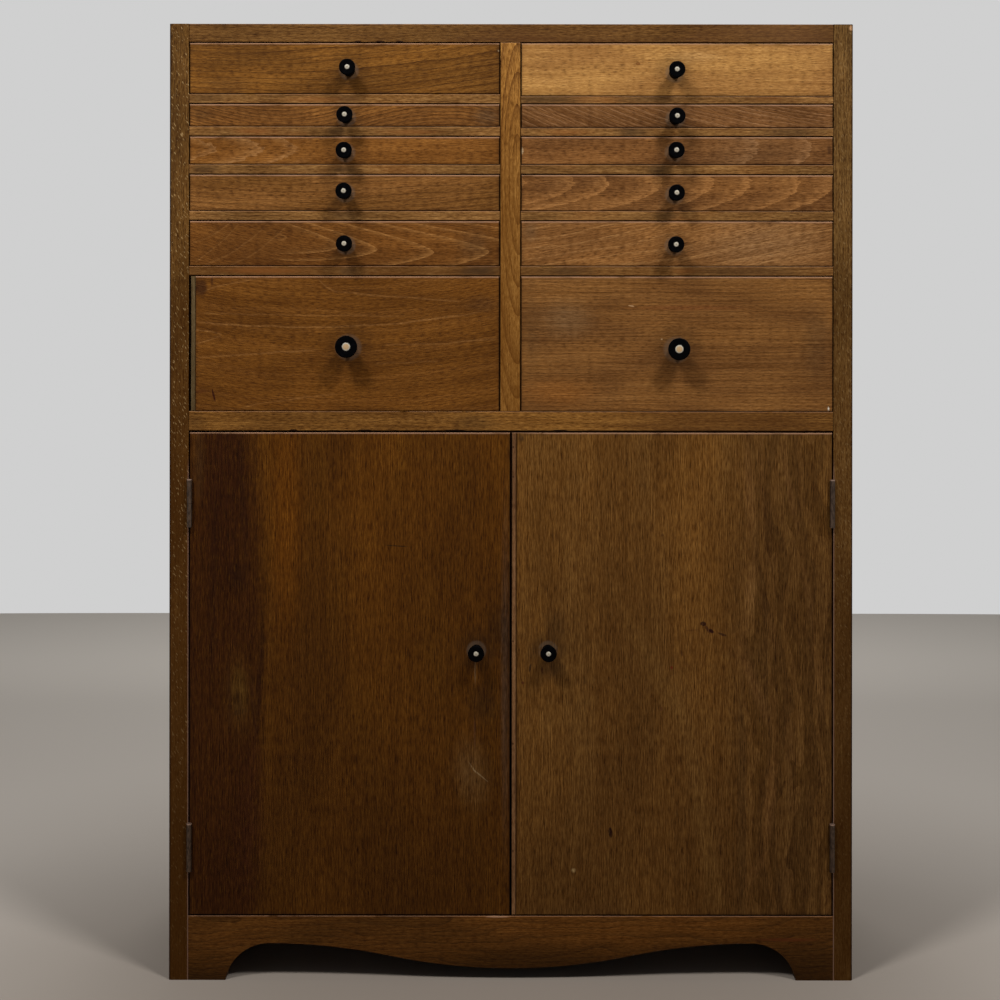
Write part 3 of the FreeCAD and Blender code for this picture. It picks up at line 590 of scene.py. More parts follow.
def screw_heads(name, places, outwards):
    """Shallow domed heads on a leaf: rings of points whose height falls with the radius squared.

    Each place gives the x, y and z of a head's middle and the turn of its slot. The map holds
    the two lengths along and across the slot, in radii.
    """
    rings, points_round = 7, 28
    share = np.linspace(1, 0, rings)[:, None]
    angle = np.linspace(0, 2 * math.pi, points_round, endpoint=False)
    x, y, z, turn = np.array(places).T[:, :, None, None]
    flat = np.broadcast_to(share * np.cos(angle), (len(places), rings, points_round))
    tall = np.broadcast_to(share * np.sin(angle), (len(places), rings, points_round))
    dome = SCREW_PROUD * (1 - share ** 2) + 2 * SCREW_RIM
    proud = np.where(share == 1, SCREW_RIM, dome)
    heads = np.stack(np.broadcast_arrays(
        x + outwards * proud, y + SCREW_RADIUS * flat, z + SCREW_RADIUS * tall,
    ), axis=-1)
    heads[:, 0, :, 0] = (x - outwards * SCREW_SINK)[:, 0]
    middles = heads[:, -1, :1]
    backs = np.array(places)[:, None, :3] - (outwards * SCREW_SINK, 0, 0)
    points = np.concatenate([heads[:, :-1].reshape(len(places), -1, 3), middles, backs], axis=1)
    each = points.shape[1]
    index = np.arange((rings - 1) * points_round).reshape(rings - 1, points_round)
    after = np.roll(index, -1, axis=1)
    quads = np.stack([index[:-1], after[:-1], after[1:], index[1:]], axis=-1).reshape(-1, 4)
    front = np.stack([index[-1], after[-1], np.full(points_round, each - 2)], axis=-1)
    back = np.stack([after[0], index[0], np.full(points_round, each - 1)], axis=-1)
    faces = []
    for start in np.arange(len(places)) * each:
        faces += (quads + start).tolist() + (front + start).tolist() + (back + start).tolist()
    mesh = bpy.data.meshes.new(name)
    mesh.from_pydata(points.reshape(-1, 3) * MM, [], faces)
    work = bmesh.new()
    work.from_mesh(mesh)
    bmesh.ops.recalc_face_normals(work, faces=work.faces)
    work.to_mesh(mesh)
    work.free()
    along = flat * np.cos(turn) + tall * np.sin(turn)
    across = tall * np.cos(turn) - flat * np.sin(turn)
    spots = np.zeros((len(places), each, 2))
    spots[:, :-2] = np.stack([along, across], axis=-1)[:, :-1].reshape(len(places), -1, 2)
    spots[:, -1] = 1
    corners = np.empty(len(mesh.loops), int)
    mesh.loops.foreach_get("vertex_index", corners)
    layer = mesh.uv_layers.new(name="slot_map")
    layer.data.foreach_set("uv", spots.reshape(-1, 2)[corners].ravel())
    mesh.shade_smooth()
    return mesh


steel = Finish("screw_steel", specular=0.5)
steel.shader.inputs["Metallic"].default_value = 0.8
spot = steel.x.node("UVMap", {"uv_map": "slot_map"})
across = abs(spot.node("SeparateXYZ", (), {0: spot}, 1))
age = steel.clouds((steel.x, steel.y, steel.z), (1.5, 1.5, 1.5), 3, 0.6)
steel.colour = blend(age, paint(128, 108, 84), paint(64, 50, 38))
# The slot is not cut: it is painted in as a dark line, painted shade of its recess.
steel.shade(between(across, SLOT_WIDTH, SLOT_WIDTH * 0.5), (14, 10, 8))
steel.roughness = 0.35 + 0.3 * age
steel.height = age

# The screws of each set of leaves: their body and the sides of the cabinet that they are on.
SCREWS = {
    "frame_hinge_screws": ("carcass", (-1, 1)),
    "left_door_hinge_screws": ("door_left", (-1,)),
    "right_door_hinge_screws": ("door_right", (1,)),
}
# The line of the screws behind the face, and the leaves' surfaces from the cabinet's middle.
SCREW_LINE = FACE + 9
FRAME_LEAF = 348.55
DOOR_LEAF = 348.25

for name, (body, hands) in SCREWS.items():
    places = []
    towards = -1 if body == "carcass" else 1
    for hand in hands:
        inner = hand * (FRAME_LEAF if body == "carcass" else DOOR_LEAF)
        for middle in HINGE_MIDDLES:
            for number, (up, back) in enumerate(SCREW_STEPS):
                places.append((inner, SCREW_LINE + back, middle + up, 0.5 + 1.1 * number * hand))
    # The carcass has leaves on both sides, so its heads are made for each hand and joined.
    made = bmesh.new()
    for hand in hands:
        own = [place for place in places if place[0] * hand > 0]
        made.from_mesh(screw_heads(name, own, towards * hand))
    mesh = bpy.data.meshes.new(name)
    made.to_mesh(mesh)
    made.free()
    mesh.shade_smooth()
    piece = add(name, mesh, body, "hinge_steel")
    steel.give(piece, relief=0.05)


# ---------------- doors
# Two flush doors of thick plywood faced with plain veneer, the grain running up. The right one
# has a strip of solid wood glued to its meeting edge.


def points_of(mesh):
    """The mesh's points as rows of x, y and z."""
    corners = np.empty(len(mesh.vertices) * 3)
    mesh.vertices.foreach_get("co", corners)
    return corners.reshape(-1, 3)


def board_of(node, knob):
    """The board of a front, without its knob.

    The loose triangles of the solid are merged, those within the knob's circle are left out,
    and flat faces are joined again so that a bevel can round the arrises.
    """
    mesh = nodes[node].data
    triangles = np.empty(len(mesh.loops), int)
    mesh.loops.foreach_get("vertex_index", triangles)
    points, which = np.unique(points_of(mesh).round(7), axis=0, return_inverse=True)
    triangles = which.reshape(-1)[triangles].reshape(-1, 3)
    from_axis = np.hypot(points[:, 0] - knob["x"] * MM, points[:, 2] - knob["z"] * MM)
    in_knob = (from_axis < 1.02 * knob["radius"] * MM)[triangles].all(axis=1)
    triangles = triangles[~in_knob]
    kept, which = np.unique(triangles, return_inverse=True)
    made = bpy.data.meshes.new(f"{node}_board")
    made.from_pydata(points[kept], [], which.reshape(-1, 3).tolist())
    work = bmesh.new()
    work.from_mesh(made)
    bmesh.ops.dissolve_limit(work, angle_limit=0.01, verts=work.verts, edges=work.edges)
    work.to_mesh(made)
    work.free()
    return made


def knob_of(node):
    """Place and size of the knob in a front, read from the points that stand off its face."""
    corners = points_of(nodes[node].data) / MM
    knob = corners[corners[:, 1] < FACE - 1]
    (left, front, low), (right, _, high) = knob.min(0), knob.max(0)
    size = dict(x=(left + right) / 2, z=(low + high) / 2, radius=(right - left) / 2)
    return size | dict(reach=FACE - front)


def round_arrises(piece, width):
    """Rounds a board's arrises with the plane's last strokes."""
    bevel = piece.modifiers.new("rounded_arrises", "BEVEL")
    bevel.width = width * MM
    bevel.segments = 2
    bevel.limit_method = "ANGLE"
    bevel.angle_limit = math.radians(30)
    bevel.harden_normals = True


TURNED_SIDES = 56


def turned(name, x, z, outline):
    """A shape turned on a lathe: radius and reach of its outline, carried round its axis."""
    radius, reach = np.array(outline[1:-1]).T[:, :, None] * MM
    angle = np.linspace(0, 2 * math.pi, TURNED_SIDES, endpoint=False)
    rings = np.stack(np.broadcast_arrays(
        x * MM + radius * np.cos(angle), FACE * MM - reach, z * MM + radius * np.sin(angle),
    ), axis=-1).reshape(-1, 3)
    ends = [(x * MM, (FACE - outline[end][1]) * MM, z * MM) for end in (0, -1)]
    points = np.vstack([rings, ends])
    index = np.arange(len(rings)).reshape(-1, TURNED_SIDES)
    after = np.roll(index, -1, axis=1)
    sides = np.stack([index[:-1], index[1:], after[1:], after[:-1]], axis=-1).reshape(-1, 4)
    back = np.stack([np.full(TURNED_SIDES, len(rings)), index[0], after[0]], axis=-1)
    front = np.stack([np.full(TURNED_SIDES, len(rings) + 1), after[-1], index[-1]], axis=-1)
    mesh = bpy.data.meshes.new(name)
    mesh.from_pydata(points, [], sides.tolist() + back.tolist() + front.tolist())
    mesh.shade_smooth()
    return mesh


KNOB_NECK = 0.72
KNOB_FLARE = 0.38
STUD_PROUD = 0.6
RIM = 0.9
WAIST = 0.07
DISH = 0.35
STUD_ROOT = 1.5


def knob_outline(radius, reach, stud):
    """Foot, slightly waisted neck, hollow flare, rounded rim and a face dished to the stud."""
    along = np.linspace(0, 1, 15)
    flare = np.clip((along - 1 + KNOB_FLARE) / KNOB_FLARE, 0, 1)
    neck = radius * (KNOB_NECK - WAIST * np.sin(math.pi * np.clip(along / (1 - KNOB_FLARE), 0, 1)))
    shank = np.column_stack([neck + (radius - radius * KNOB_NECK) * flare ** 1.6, along * (reach - RIM)])
    quarter = np.linspace(0, math.pi / 2, 8)[1:]
    rim = np.column_stack([radius - RIM + RIM * np.cos(quarter), reach - RIM + RIM * np.sin(quarter)])
    inwards = np.linspace(1, stud / radius, 5)[1:]
    dish = np.column_stack([(radius - RIM) * inwards, reach - DISH * (1 - inwards)])
    return [(0, 0), *shank.tolist(), *rim.tolist(), *dish.tolist(), (0, reach - 0.4)]


def stud_outline(reach, stud):
    """A pale peg end, domed where it stands out of the knob's face."""
    bend = np.linspace(0, 1, 9)[:-1]
    dome = np.column_stack([stud * np.sqrt(1 - bend ** 2), reach - DISH + (STUD_PROUD + DISH) * bend])
    root = reach - STUD_ROOT
    return [(0, root), (stud, root), *dome.tolist(), (0, reach + STUD_PROUD)]


def knob_finish():
    """Ebonised wood: near black, rubbed and a little dusty, with fine turning marks."""
    black = Finish("knob_black", specular=0.02)
    dust = black.clouds((black.x, black.y, black.z), (5, 5, 5), 3, 0.6)
    black.colour = blend(between(dust, 0.5, 0.8), paint(2, 2, 3), paint(8, 8, 11))
    black.roughness = 0.28 + 0.25 * dust
    black.height = black.clouds((black.x, black.y * 6, black.z), (4, 1, 4), 2)
    return black


def stud_finish(name, knob, stud, core, colour):
    """Bone: cream, with the darker core of the peg in the middle."""
    bone = Finish(name, roughness=0.4, specular=0.3)
    right, up = bone.x - knob["x"], bone.z - knob["z"]
    away = (right * right + up * up) ** 0.5
    grain = bone.clouds((bone.x, bone.y, bone.z), (1.2, 1.2, 1.2), 2)
    pale = blend(grain, paint(196, 189, 174), paint(172, 162, 142))
    edge = stud * core
    bone.colour = blend(between(away, edge + 0.4, edge - 0.2) * 0.8, pale, paint(*colour))
    bone.shade(between(away, stud - 0.9, stud) * 0.75, (92, 82, 66))
    bone.height = grain
    return bone


black_knob = knob_finish()


def fit_knob(node, body, knob, kind):
    """Turns the knob of a front and its stud where the frame holds them."""
    reach = knob["reach"] - STUD_PROUD
    share, core, colour = kind
    stud = knob["radius"] * share
    bone = stud_finish(f"{node}_stud_bone", knob, stud, core, colour)
    for part, slot, outline, finish in (
        ("knob", "knob_black", knob_outline(knob["radius"], reach, stud), black_knob),
        ("stud", "stud_bone", stud_outline(reach, stud), bone),
    ):
        name = f"{node}_{part}"
        piece = add(name, turned(name, knob["x"], knob["z"], outline), body, slot, node)
        finish.give(piece, relief=0.05)


def make_front(node, body, slot, arris, kind):
    """A front's board with its knob and stud: gives the board, the knob and the front's middle."""
    knob = knob_of(node)
    board = add(f"{node}_board", board_of(node, knob), body, slot, node)
    round_arrises(board, arris)
    fit_knob(node, body, knob, kind)
    low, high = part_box(node)
    return board, knob, ((low.x + high.x) / 2 / MM, (low.z + high.z) / 2 / MM)


def hand_marks(wood, knob, grease=0.3):
    """Dust and old polish in a ring round the knob's foot, and a dark zone where hands reach."""
    right, up = wood.x - knob["x"], wood.z - knob["z"]
    away = (right * right + up * up) ** 0.5 / knob["radius"]
    patchy = wood.clouds((wood.x, wood.z, wood.y), (14, 14, 14), 3, 0.6)
    wood.shade(between(away + (patchy - 0.5) * 2.4, 3.2, 1) * grease, (34, 22, 13))
    ring = between(away, 1.35, 1)
    wood.shade(ring * between(patchy, 0.2, 0.5) * 0.35, (104, 90, 76))


# A stud's share of its knob's width, its core's share of its own and the core's colour.
SMALL_KNOB = (0.31, 0.3, (150, 138, 112))
LARGE_KNOB = (0.38, 0.68, (186, 148, 98))

# Spots, streaks and stains: x, z, half width, half height, strength, colour, turn, soft, ragged.
LEFT_DOOR_MARKS = (
    (-244, 500, 26, 190, 0.4, (112, 62, 8), 0, 0.9, 0.3),
    (-313, 330, 55, 500, 0.7, (42, 16, 4), 0, 0.4, 0.3),
    (-312, 540, 30, 130, 0.4, (34, 10, 4), 2, 0.7, 0.8),
    (-290, 520, 5, 130, 0.4, (28, 9, 5), 3, 0.7, 0.4),
    (-322, 420, 7, 150, 0.3, (28, 10, 6), -1, 0.7, 0.4),
    (-272, 320, 5, 110, 0.5, (30, 10, 5), -3, 0.8, 0.4),
    (-297, 436, 17, 26, 0.5, (24, 9, 5), 8, 0.9, 0.5),
    (-338, 560, 10, 60, 0.4, (70, 46, 22), 0, 0.9, 0.4),
    (-294, 308, 24, 62, 0.5, (70, 42, 12), 3, 0.6, 0.4),
    (-294, 312, 13, 36, 0.5, (84, 58, 20), 3, 0.7, 0.4),
    (-295, 300, 6, 18, 0.5, (52, 30, 10), 5, 0.5, 0.5),
    (-305, 308, 3, 46, 0.4, (42, 20, 8), 2, 0.6, 0.4),
    (-279, 300, 3, 50, 0.4, (42, 20, 8), 4, 0.6, 0.4),
    (-294, 290, 11, 4, 0.4, (42, 24, 10), 15, 0.6, 0.5),
    (-282, 170, 24, 130, 0.35, (56, 26, 12), -2, 0.9, 0.4),
    (-124, 470, 16, 0.9, 0.7, (30, 18, 8), -4, 0.5, 0.2),
    (-30, 300, 26, 34, 0.5, (36, 22, 10), 0, 0.9, 0.6),
    (-14, 380, 18, 34, 0.35, (36, 22, 10), 0, 0.9, 0.6),
    (-38.5, 336, 1.3, 18, 0.45, (118, 92, 62), 0, 0.6, 0.2),
    (-39, 268, 1.6, 24, 0.5, (38, 20, 20), 0, 0.7, 0.2),
    (-42, 224, 30, 54, 0.35, (100, 74, 42), 8, 0.95, 0.4),
    (-42, 231, 10, 0.9, 0.3, (150, 124, 88), -56, 0.5, 0.9),
    (-32, 221, 13, 0.9, 0.3, (150, 124, 88), -40, 0.5, 0.9),
    (-6, 330, 7, 260, 0.35, (58, 52, 46), 0, 0.9, 0.3),
)
RIGHT_DOOR_MARKS = (
    (312, 330, 110, 700, 0.42, (42, 26, 7), 0, 0.8, 0.2),
    (208.5, 386, 4, 3, 0.95, (34, 8, 6), -20, 0.5, 0.9),
    (213, 380, 2, 7, 0.7, (44, 14, 10), 30, 0.5, 0.9),
    (217, 378, 4, 2.4, 0.95, (34, 8, 6), -30, 0.5, 0.9),
    (229, 374.5, 6, 1.8, 0.85, (38, 10, 8), -18, 0.5, 0.9),
    (196, 379, 9, 1.2, 0.4, (60, 26, 14), 4, 0.7, 0.4),
    (185, 354, 1.6, 5, 0.6, (56, 26, 12), 12, 0.6, 0.4),
    (174, 338.5, 1.8, 2.2, 0.85, (96, 26, 14), 0, 0.5, 0.3),
    (163, 294, 1.4, 3.4, 0.6, (60, 26, 14), -8, 0.6, 0.3),
    (274, 329, 1.5, 3.4, 0.6, (52, 24, 12), 0, 0.6, 0.3),
    (268.5, 503, 1.4, 3, 0.5, (52, 24, 12), 0, 0.6, 0.3),
    (164, 482, 2, 2, 0.6, (58, 30, 14), 0, 0.6, 0.3),
    (108, 160, 2.6, 6.4, 0.95, (26, 6, 4), 4, 0.4, 0.5),
    (68, 119, 3.6, 3.2, 0.7, (150, 122, 78), 0, 0.8, 0.3),
    (174, 60, 1.4, 4, 0.6, (52, 24, 12), 0, 0.6, 0.3),
    (94, 244, 1.3, 3, 0.5, (58, 30, 14), 0, 0.6, 0.3),
    (127, 207, 1.2, 2.4, 0.5, (58, 30, 14), 0, 0.6, 0.3),
    (21, 338, 1.7, 6, 0.8, (34, 18, 10), -8, 0.6, 0.4),
    (34, 336, 1.5, 4.5, 0.6, (70, 26, 14), 0, 0.6, 0.4),
    (13, 322, 1.8, 2, 0.75, (60, 20, 10), 0, 0.5, 0.3),
    (44, 336, 22, 16, 0.5, (40, 26, 14), 0, 0.9, 0.6),
    (48, 384, 18, 26, 0.4, (44, 30, 15), 12, 0.9, 0.6),
    (11, 587, 5, 6, 0.7, (30, 18, 10), 0, 0.8, 0.6),
    (250, 150, 6, 260, 0.3, (58, 38, 16), 0, 0.6, 0.2),
    (259, 525, 9, 84, 0.4, (124, 86, 46), 4, 0.9, 0.3),
    (260, 422, 9, 60, 0.4, (124, 86, 46), -6, 0.9, 0.3),
    (266, 314, 9, 72, 0.4, (118, 80, 42), 22, 0.9, 0.3),
    (281, 196, 10, 78, 0.4, (112, 74, 38), -5, 0.9, 0.3),
    (267, 122, 9, 34, 0.35, (108, 72, 36), -28, 0.9, 0.3),
    (302, 530, 6, 66, 0.35, (118, 80, 42), 11, 0.9, 0.3),
    (321, 422, 6, 66, 0.35, (114, 78, 40), 9, 0.9, 0.3),
    (334, 322, 6, 60, 0.3, (110, 74, 38), 7, 0.9, 0.3),
    (275, 509, 9, 100, 0.45, (52, 28, 10), 5, 0.9, 0.3),
    (279, 390, 8, 64, 0.4, (50, 26, 10), 12, 0.9, 0.3),
    (302, 240, 10, 100, 0.4, (46, 24, 8), 3, 0.9, 0.3),
    (296, 106, 13, 60, 0.4, (44, 24, 9), -12, 0.9, 0.3),
    (258, 352, 6, 46, 0.3, (52, 28, 10), 20, 0.9, 0.3),
    (160, 330, 16, 120, 0.18, (128, 92, 44), 28, 0.9, 0.9),
    (212, 150, 16, 150, 0.18, (128, 92, 44), 9, 0.9, 0.9),
    (80, 60, 80, 40, 0.3, (62, 40, 20), 0, 0.9, 0.4),
)
DOORS = {
    "left": dict(
        pale=(89, 51, 10), dark=(69, 38, 7), fibre=0.9, vessel=(28, 14, 4), sheen_and_pale_pores=(102, 64, 14),
        marks=LEFT_DOOR_MARKS),
    "right": dict(
        pale=(108, 70, 27), dark=(87, 55, 20), fibre=0.9, vessel=(48, 26, 10), sheen_and_pale_pores=(122, 88, 44),
        marks=RIGHT_DOOR_MARKS),
}

# Wide pale and dark bands: strength, colour, heart and sharpness.
RIGHT_DOOR_BANDS = ((0.34, (114, 78, 38), -60, 1.2), (0.36, (46, 26, 8), -70, 1.6))

for hand, face in DOORS.items():
    node, body = f"{hand}_door", f"door_{hand}"
    board, knob, middle = make_front(node, body, "door_wood", 0.5, SMALL_KNOB)
    wood = Wood(f"{node}_finish", "z", face["pale"], face["dark"], middle=middle, patch=340)
    # Painted sheen: wide paler patches over the face.
    wood.cloud(0.3, face["sheen_and_pale_pores"], size=(300, 60), low=0.45, seed=80)
    if hand == "left":
        wood.rings(6, 0.45, (28, 9, 3), heart=-190, depth=8, lean=0.03, sharp=2, waver=9,
                   beside=(-88, -104))
    # Painted shade: the doors darken towards the floor, where the light falls off.
    wood.painted_shade_below(560, 80, 0.5, (52, 28, 6) if hand == "left" else (66, 40, 14))
    for mark in face["marks"]:
        wood.mark(*mark)
    if hand == "right":
        for strength, colour, heart, sharp in RIGHT_DOOR_BANDS:
            wood.rings(27, strength, colour, heart=heart, depth=30, lean=0.13, sharp=sharp,
                       waver=44, beside=(30, 100))
    wood.fibres(face["fibre"], length=36, width=1.4, fine=1.5, dash=11)
    wood.deepen(wood.clouds(wood.places, (180, 7, 7), 3), 0.4)
    wood.pores(0.35, face["vessel"], length=14, width=1.0, amount=0.57)
    wood.pores(0.3, face["sheen_and_pale_pores"], length=12, width=0.9, amount=0.58)
    hand_marks(wood, knob, grease=0.4)
    wood.bare(between(wood.into, 17.4, 17.8))
    wood.grimy_edges_and_highlight(*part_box(node))
    wood.arrises(0.3)
    wood.give(board)

strip = nodes["right_door_lipping"]
low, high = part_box("right_door_lipping")
wood = Wood("lipping_finish", "z", (128, 90, 56), (100, 68, 42), middle=(low.x / MM, 300), patch=160)
wood.fibres(0.8, length=60, width=0.9)
wood.pores(0.4, (60, 34, 20), length=6, width=0.5)
for z, height in ((577, 2), (545, 1.6), (367, 1.2), (140, 2), (256, 1.4)):
    wood.mark(2.4, z, 1, height, 0.8, (40, 20, 14), soft=0.5)
wood.arrises(0.4)
wood.give(strip)


# ---------------- drawers
# Twelve drawers. Each front is one board, stained and varnished on the face and left bare
# behind, with the thin sides lapped into it by dovetails. The bottoms are thin plywood.

DRAWER_FRONTS = {
    "left_1": dict(
        pale=(126, 81, 30), dark=(100, 63, 22), tilt=0.066, bow=0.00036,
        rings=dict(spacing=7, strength=0.85, colour=(62, 34, 12), sharp=7, waver=8),
        marks=((-310, 968, 40, 14, 0.4, (80, 50, 22), 0, 0.9, 0.4),
               (-14, 1006, 1.2, 1.6, 0.8, (190, 160, 120), 0, 0.5, 0.2))),
    "left_2": dict(
        pale=(135, 87, 38), dark=(108, 68, 29), wave=(13.5, 54, 20),
        rings=dict(spacing=3.8, strength=0.85, colour=(60, 34, 14), sharp=4, waver=4),
        marks=((-26, 936, 22, 16, 0.5, (82, 62, 42), 0, 0.9, 0.4),
               (-336, 936, 20, 12, 0.4, (76, 52, 28), 0, 0.9, 0.4))),
    "left_3": dict(
        pale=(131, 83, 34), dark=(108, 66, 24),
        rings=dict(spacing=7, strength=0.5, colour=(168, 122, 74), heart=2, depth=54, lean=0.19,
                   sharp=4, jag=2.2, waver=2, window=(-30, -70), point=1.6)),
    "left_4": dict(
        pale=(131, 86, 41), dark=(109, 70, 29), tilt=0.02, bow=0.0003,
        rings=dict(spacing=6, strength=0.6, colour=(70, 40, 15), sharp=5, waver=8)),
    "left_5": dict(
        pale=(117, 72, 28), dark=(95, 57, 21), tilt=-0.113, bow=0.00049,
        rings=dict(spacing=6, strength=0.62, colour=(166, 116, 62), heart=-3, depth=50, lean=0.115,
                   sharp=6, waver=2.5, window=(-84, -52), point=1.5),
        growth=((-344, -292, 776, 46, -4, 0.3), (-332, -262, 774, 46, -6, 0.3),
                (-306, -240, 774, 46, -7, 0.28), (-346, -300, 798, 26, -4, 0.3)),
        marks=((-40, 796, 26, 24, 0.45, (72, 52, 32), 0, 0.95, 0.4),
               (-280, 796, 90, 50, 0.35, (70, 40, 14), 0, 0.9, 0.3))),
    "left_6": dict(
        pale=(110, 67, 22), dark=(93, 55, 16), bow=0.0006, growth=(
            (-342, -268, 742, 18, 2, 0.35), (-209, -186, 759, -14, -3, 0.35),
            (-192, -46, 746, -11, -1.5, 0.35), (-350, -12, 714, 13, -13, 0.4),
            (-344, -100, 722, -3, -1, 0.22), (-346, -206, 673, 9, 0, 0.35),
            (-294, -180, 619, 16, 2, 0.25), (-142, -12, 687.5, 7, -2, 0.3),
            (-150, -74, 667, 3, 0, 0.22), (-344, -312, 704, -5, 1.5, 0.4),
            (-344, -312, 689, 10, -2, 0.35),
        ),
        rings=dict(spacing=24, strength=0.18, colour=(140, 92, 44), sharp=6, waver=16),
        marks=((-336, 750, 9, 12, 0.7, (46, 22, 12), 0, 0.5, 0.7),
               (-324, 757, 2, 8, 0.6, (54, 26, 14), 0, 0.6, 0.6),
               (-322, 633, 1.4, 8, 0.9, (44, 12, 8), 14, 0.5, 0.6),
               (-336, 637, 12, 2.6, 0.5, (70, 32, 14), 0, 0.7, 0.5),
               (-346, 690, 8, 80, 0.35, (58, 34, 16), 0, 0.9, 0.4),
               (-30, 732, 30, 14, 0.3, (70, 48, 30), 0, 0.9, 0.4))),
    "right_1": dict(
        pale=(175, 127, 68), dark=(151, 105, 55),
        rings=dict(spacing=8, strength=0.25, colour=(130, 84, 38), waver=8),
        grain=dict(share=0.4, length=60, width=1.5, fine=2),
        marks=((84, 1010, 2.6, 2.2, 0.6, (120, 74, 30), 0, 0.6, 0.4),
               (137, 992, 3.4, 2, 0.75, (104, 58, 22), 0, 0.5, 0.4),
               (200, 1000, 40, 10, 0.3, (196, 152, 96), 0, 0.9, 0.4))),
    "right_2": dict(
        pale=(117, 77, 41), dark=(92, 58, 27), tilt=-0.275, bow=0.00052,
        rings=dict(spacing=5, strength=0.5, colour=(160, 118, 80), sharp=5, jag=6, waver=9)),
    "right_3": dict(
        pale=(130, 85, 43), dark=(104, 66, 32),
        rings=dict(spacing=11, strength=0.5, colour=(170, 124, 80), heart=4, depth=42, lean=0.19,
                   sharp=5, jag=1.6, waver=3, window=(0, 60)),
        marks=((344, 899, 3, 6, 0.6, (52, 30, 16), 0, 0.6, 0.7),
               (12, 898, 1.4, 5, 0.7, (190, 160, 120), 0, 0.5, 0.2),
               (260, 898, 110, 40, 0.35, (84, 60, 38), 0, 0.8, 0.3))),
    "right_4": dict(
        pale=(124, 81, 40), dark=(101, 64, 31),
        rings=dict(spacing=5.7, strength=0.42, colour=(184, 128, 72), heart=11, depth=60, lean=0.117,
                   sharp=2.5, jag=0.8, waver=2)),
    "right_5": dict(
        pale=(141, 94, 48), dark=(119, 78, 39), tilt=0.16, bow=0.0001,
        rings=dict(spacing=11, strength=0.5, colour=(176, 128, 76), sharp=9, waver=12),
        marks=((20, 812, 14, 20, 0.4, (84, 66, 46), 0, 0.9, 0.3),
               (270, 797, 100, 50, 0.3, (146, 112, 76), 0, 0.9, 0.3))),
    "right_6": dict(
        pale=(132, 88, 43), dark=(107, 69, 33),
        rings=dict(spacing=4, strength=0.4, colour=(62, 38, 16), sharp=2.4, waver=6),
        grain=dict(share=0.62, length=110, width=1.2, fine=1.3),
        marks=((130, 730, 4, 0.8, 0.9, (190, 152, 110), -8, 0.4, 0.2),
               (163, 694, 1.2, 1, 0.9, (180, 150, 110), 0, 0.4, 0.2),
               (343.6, 619, 1.2, 2.8, 0.9, (196, 186, 166), 6, 0.5, 0.6),
               (190, 728, 90, 4, 0.3, (128, 70, 36), 0, 0.9, 0.4),
               (50, 636, 60, 22, 0.5, (142, 88, 36), 0, 0.9, 0.4),
               (60, 716, 40, 30, 0.3, (134, 104, 70), 0, 0.9, 0.4),
               (330, 690, 22, 60, 0.3, (70, 50, 30), 0, 0.9, 0.4),
               (22, 700, 14, 60, 0.3, (78, 54, 30), 0, 0.9, 0.4))),
}

box_wood = Wood("drawer_box_finish", "y", (160, 120, 74), (134, 98, 58), middle=(0, 800), patch=200)
box_wood.rings(6, 0.25, (120, 80, 42), heart=-200, waver=10)
box_wood.fibres(0.5)
box_wood.pores(0.25, (84, 54, 28))
box_wood.cloud(0.3, (110, 84, 54), size=(150, 50))
panel_wood = Wood("drawer_bottom_finish", "x", (158, 118, 72), (134, 98, 58), middle=(0, 800), patch=160)
panel_wood.rings(12, 0.25, (118, 80, 44), heart=30, depth=60, lean=0.1, waver=20)
panel_wood.fibres(0.5)
panel_wood.pores(0.35, (92, 60, 32), length=5)

for place, front in DRAWER_FRONTS.items():
    body = f"drawer_{place}"
    node = f"{body}_front"
    figure, growth, marks = front.pop("rings"), front.pop("growth", ()), front.pop("marks", ())
    grain = front.pop("grain", dict(share=0.55, length=60, width=1.5, fine=2))
    kind = LARGE_KNOB if place.endswith("6") else SMALL_KNOB
    board, knob, middle = make_front(node, body, "drawer_front_wood", 0.4, kind)
    wood = Wood(f"{node}_finish", "x", middle=middle, patch=120, **front)
    wood.rings(**figure)
    for line in growth:
        wood.growth_line(*line)
    for mark in marks:
        wood.mark(*mark)
    wood.fibres(**grain)
    wood.deepen(wood.clouds(wood.places, (200, 6, 6), 2), 0.35)
    wood.pores(0.45, (60, 35, 14), length=7, width=0.9)
    hand_marks(wood, knob)
    wood.bare(between(wood.into, 12, 16))
    wood.grimy_edges_and_highlight(*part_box(node))
    wood.arrises(0.45)
    wood.give(board)
    box_wood.give(nodes[f"{body}_sides_and_back"])
    panel_wood.give(nodes[f"{body}_bottom"])

strip = nodes["drawer_left_6_packing_strip"]
wood = Wood("packing_strip_finish", "z", (98, 80, 52), (72, 56, 34), middle=(-345, 690), patch=120)
wood.fibres(0.7, length=40, width=1.2)
wood.bare(between(wood.into, 8, 14))
wood.give(strip)


# ---------------- studio
# A pale floor that ends in the backdrop, darker round the cabinet as painted shade and paler farther out
# as painted light, with a faint painted glow there;
# two soft lamps above the front corners, a weaker one behind and a faint even light from all round.

FLOOR_HALF = 2.66
FLOOR_SQUARENESS = 0.35


def straight(value):
    """1 for the rays that show a thing itself: to the camera, in metal or through glass."""
    rays = (value.node("LightPath", (), (), f"Is {kind} Ray") for kind in (
        "Camera", "Glossy", "Transmission",
    ))
    camera_ray, glossy, through = rays
    return glossy.math("MAXIMUM", camera_ray, glossy.math("MAXIMUM", glossy, through))


angle = np.linspace(0, 2 * math.pi, 256, endpoint=False)
rim = np.stack([np.cos(angle), np.sin(angle), 0 * angle])
rim = FLOOR_HALF * np.sign(rim) * np.abs(rim) ** FLOOR_SQUARENESS
mesh = bpy.data.meshes.new("studio_floor")
mesh.from_pydata(rim.T, [], [list(range(len(angle)))])
floor = bpy.data.objects.new("studio_floor", mesh)
bpy.context.scene.collection.objects.link(floor)

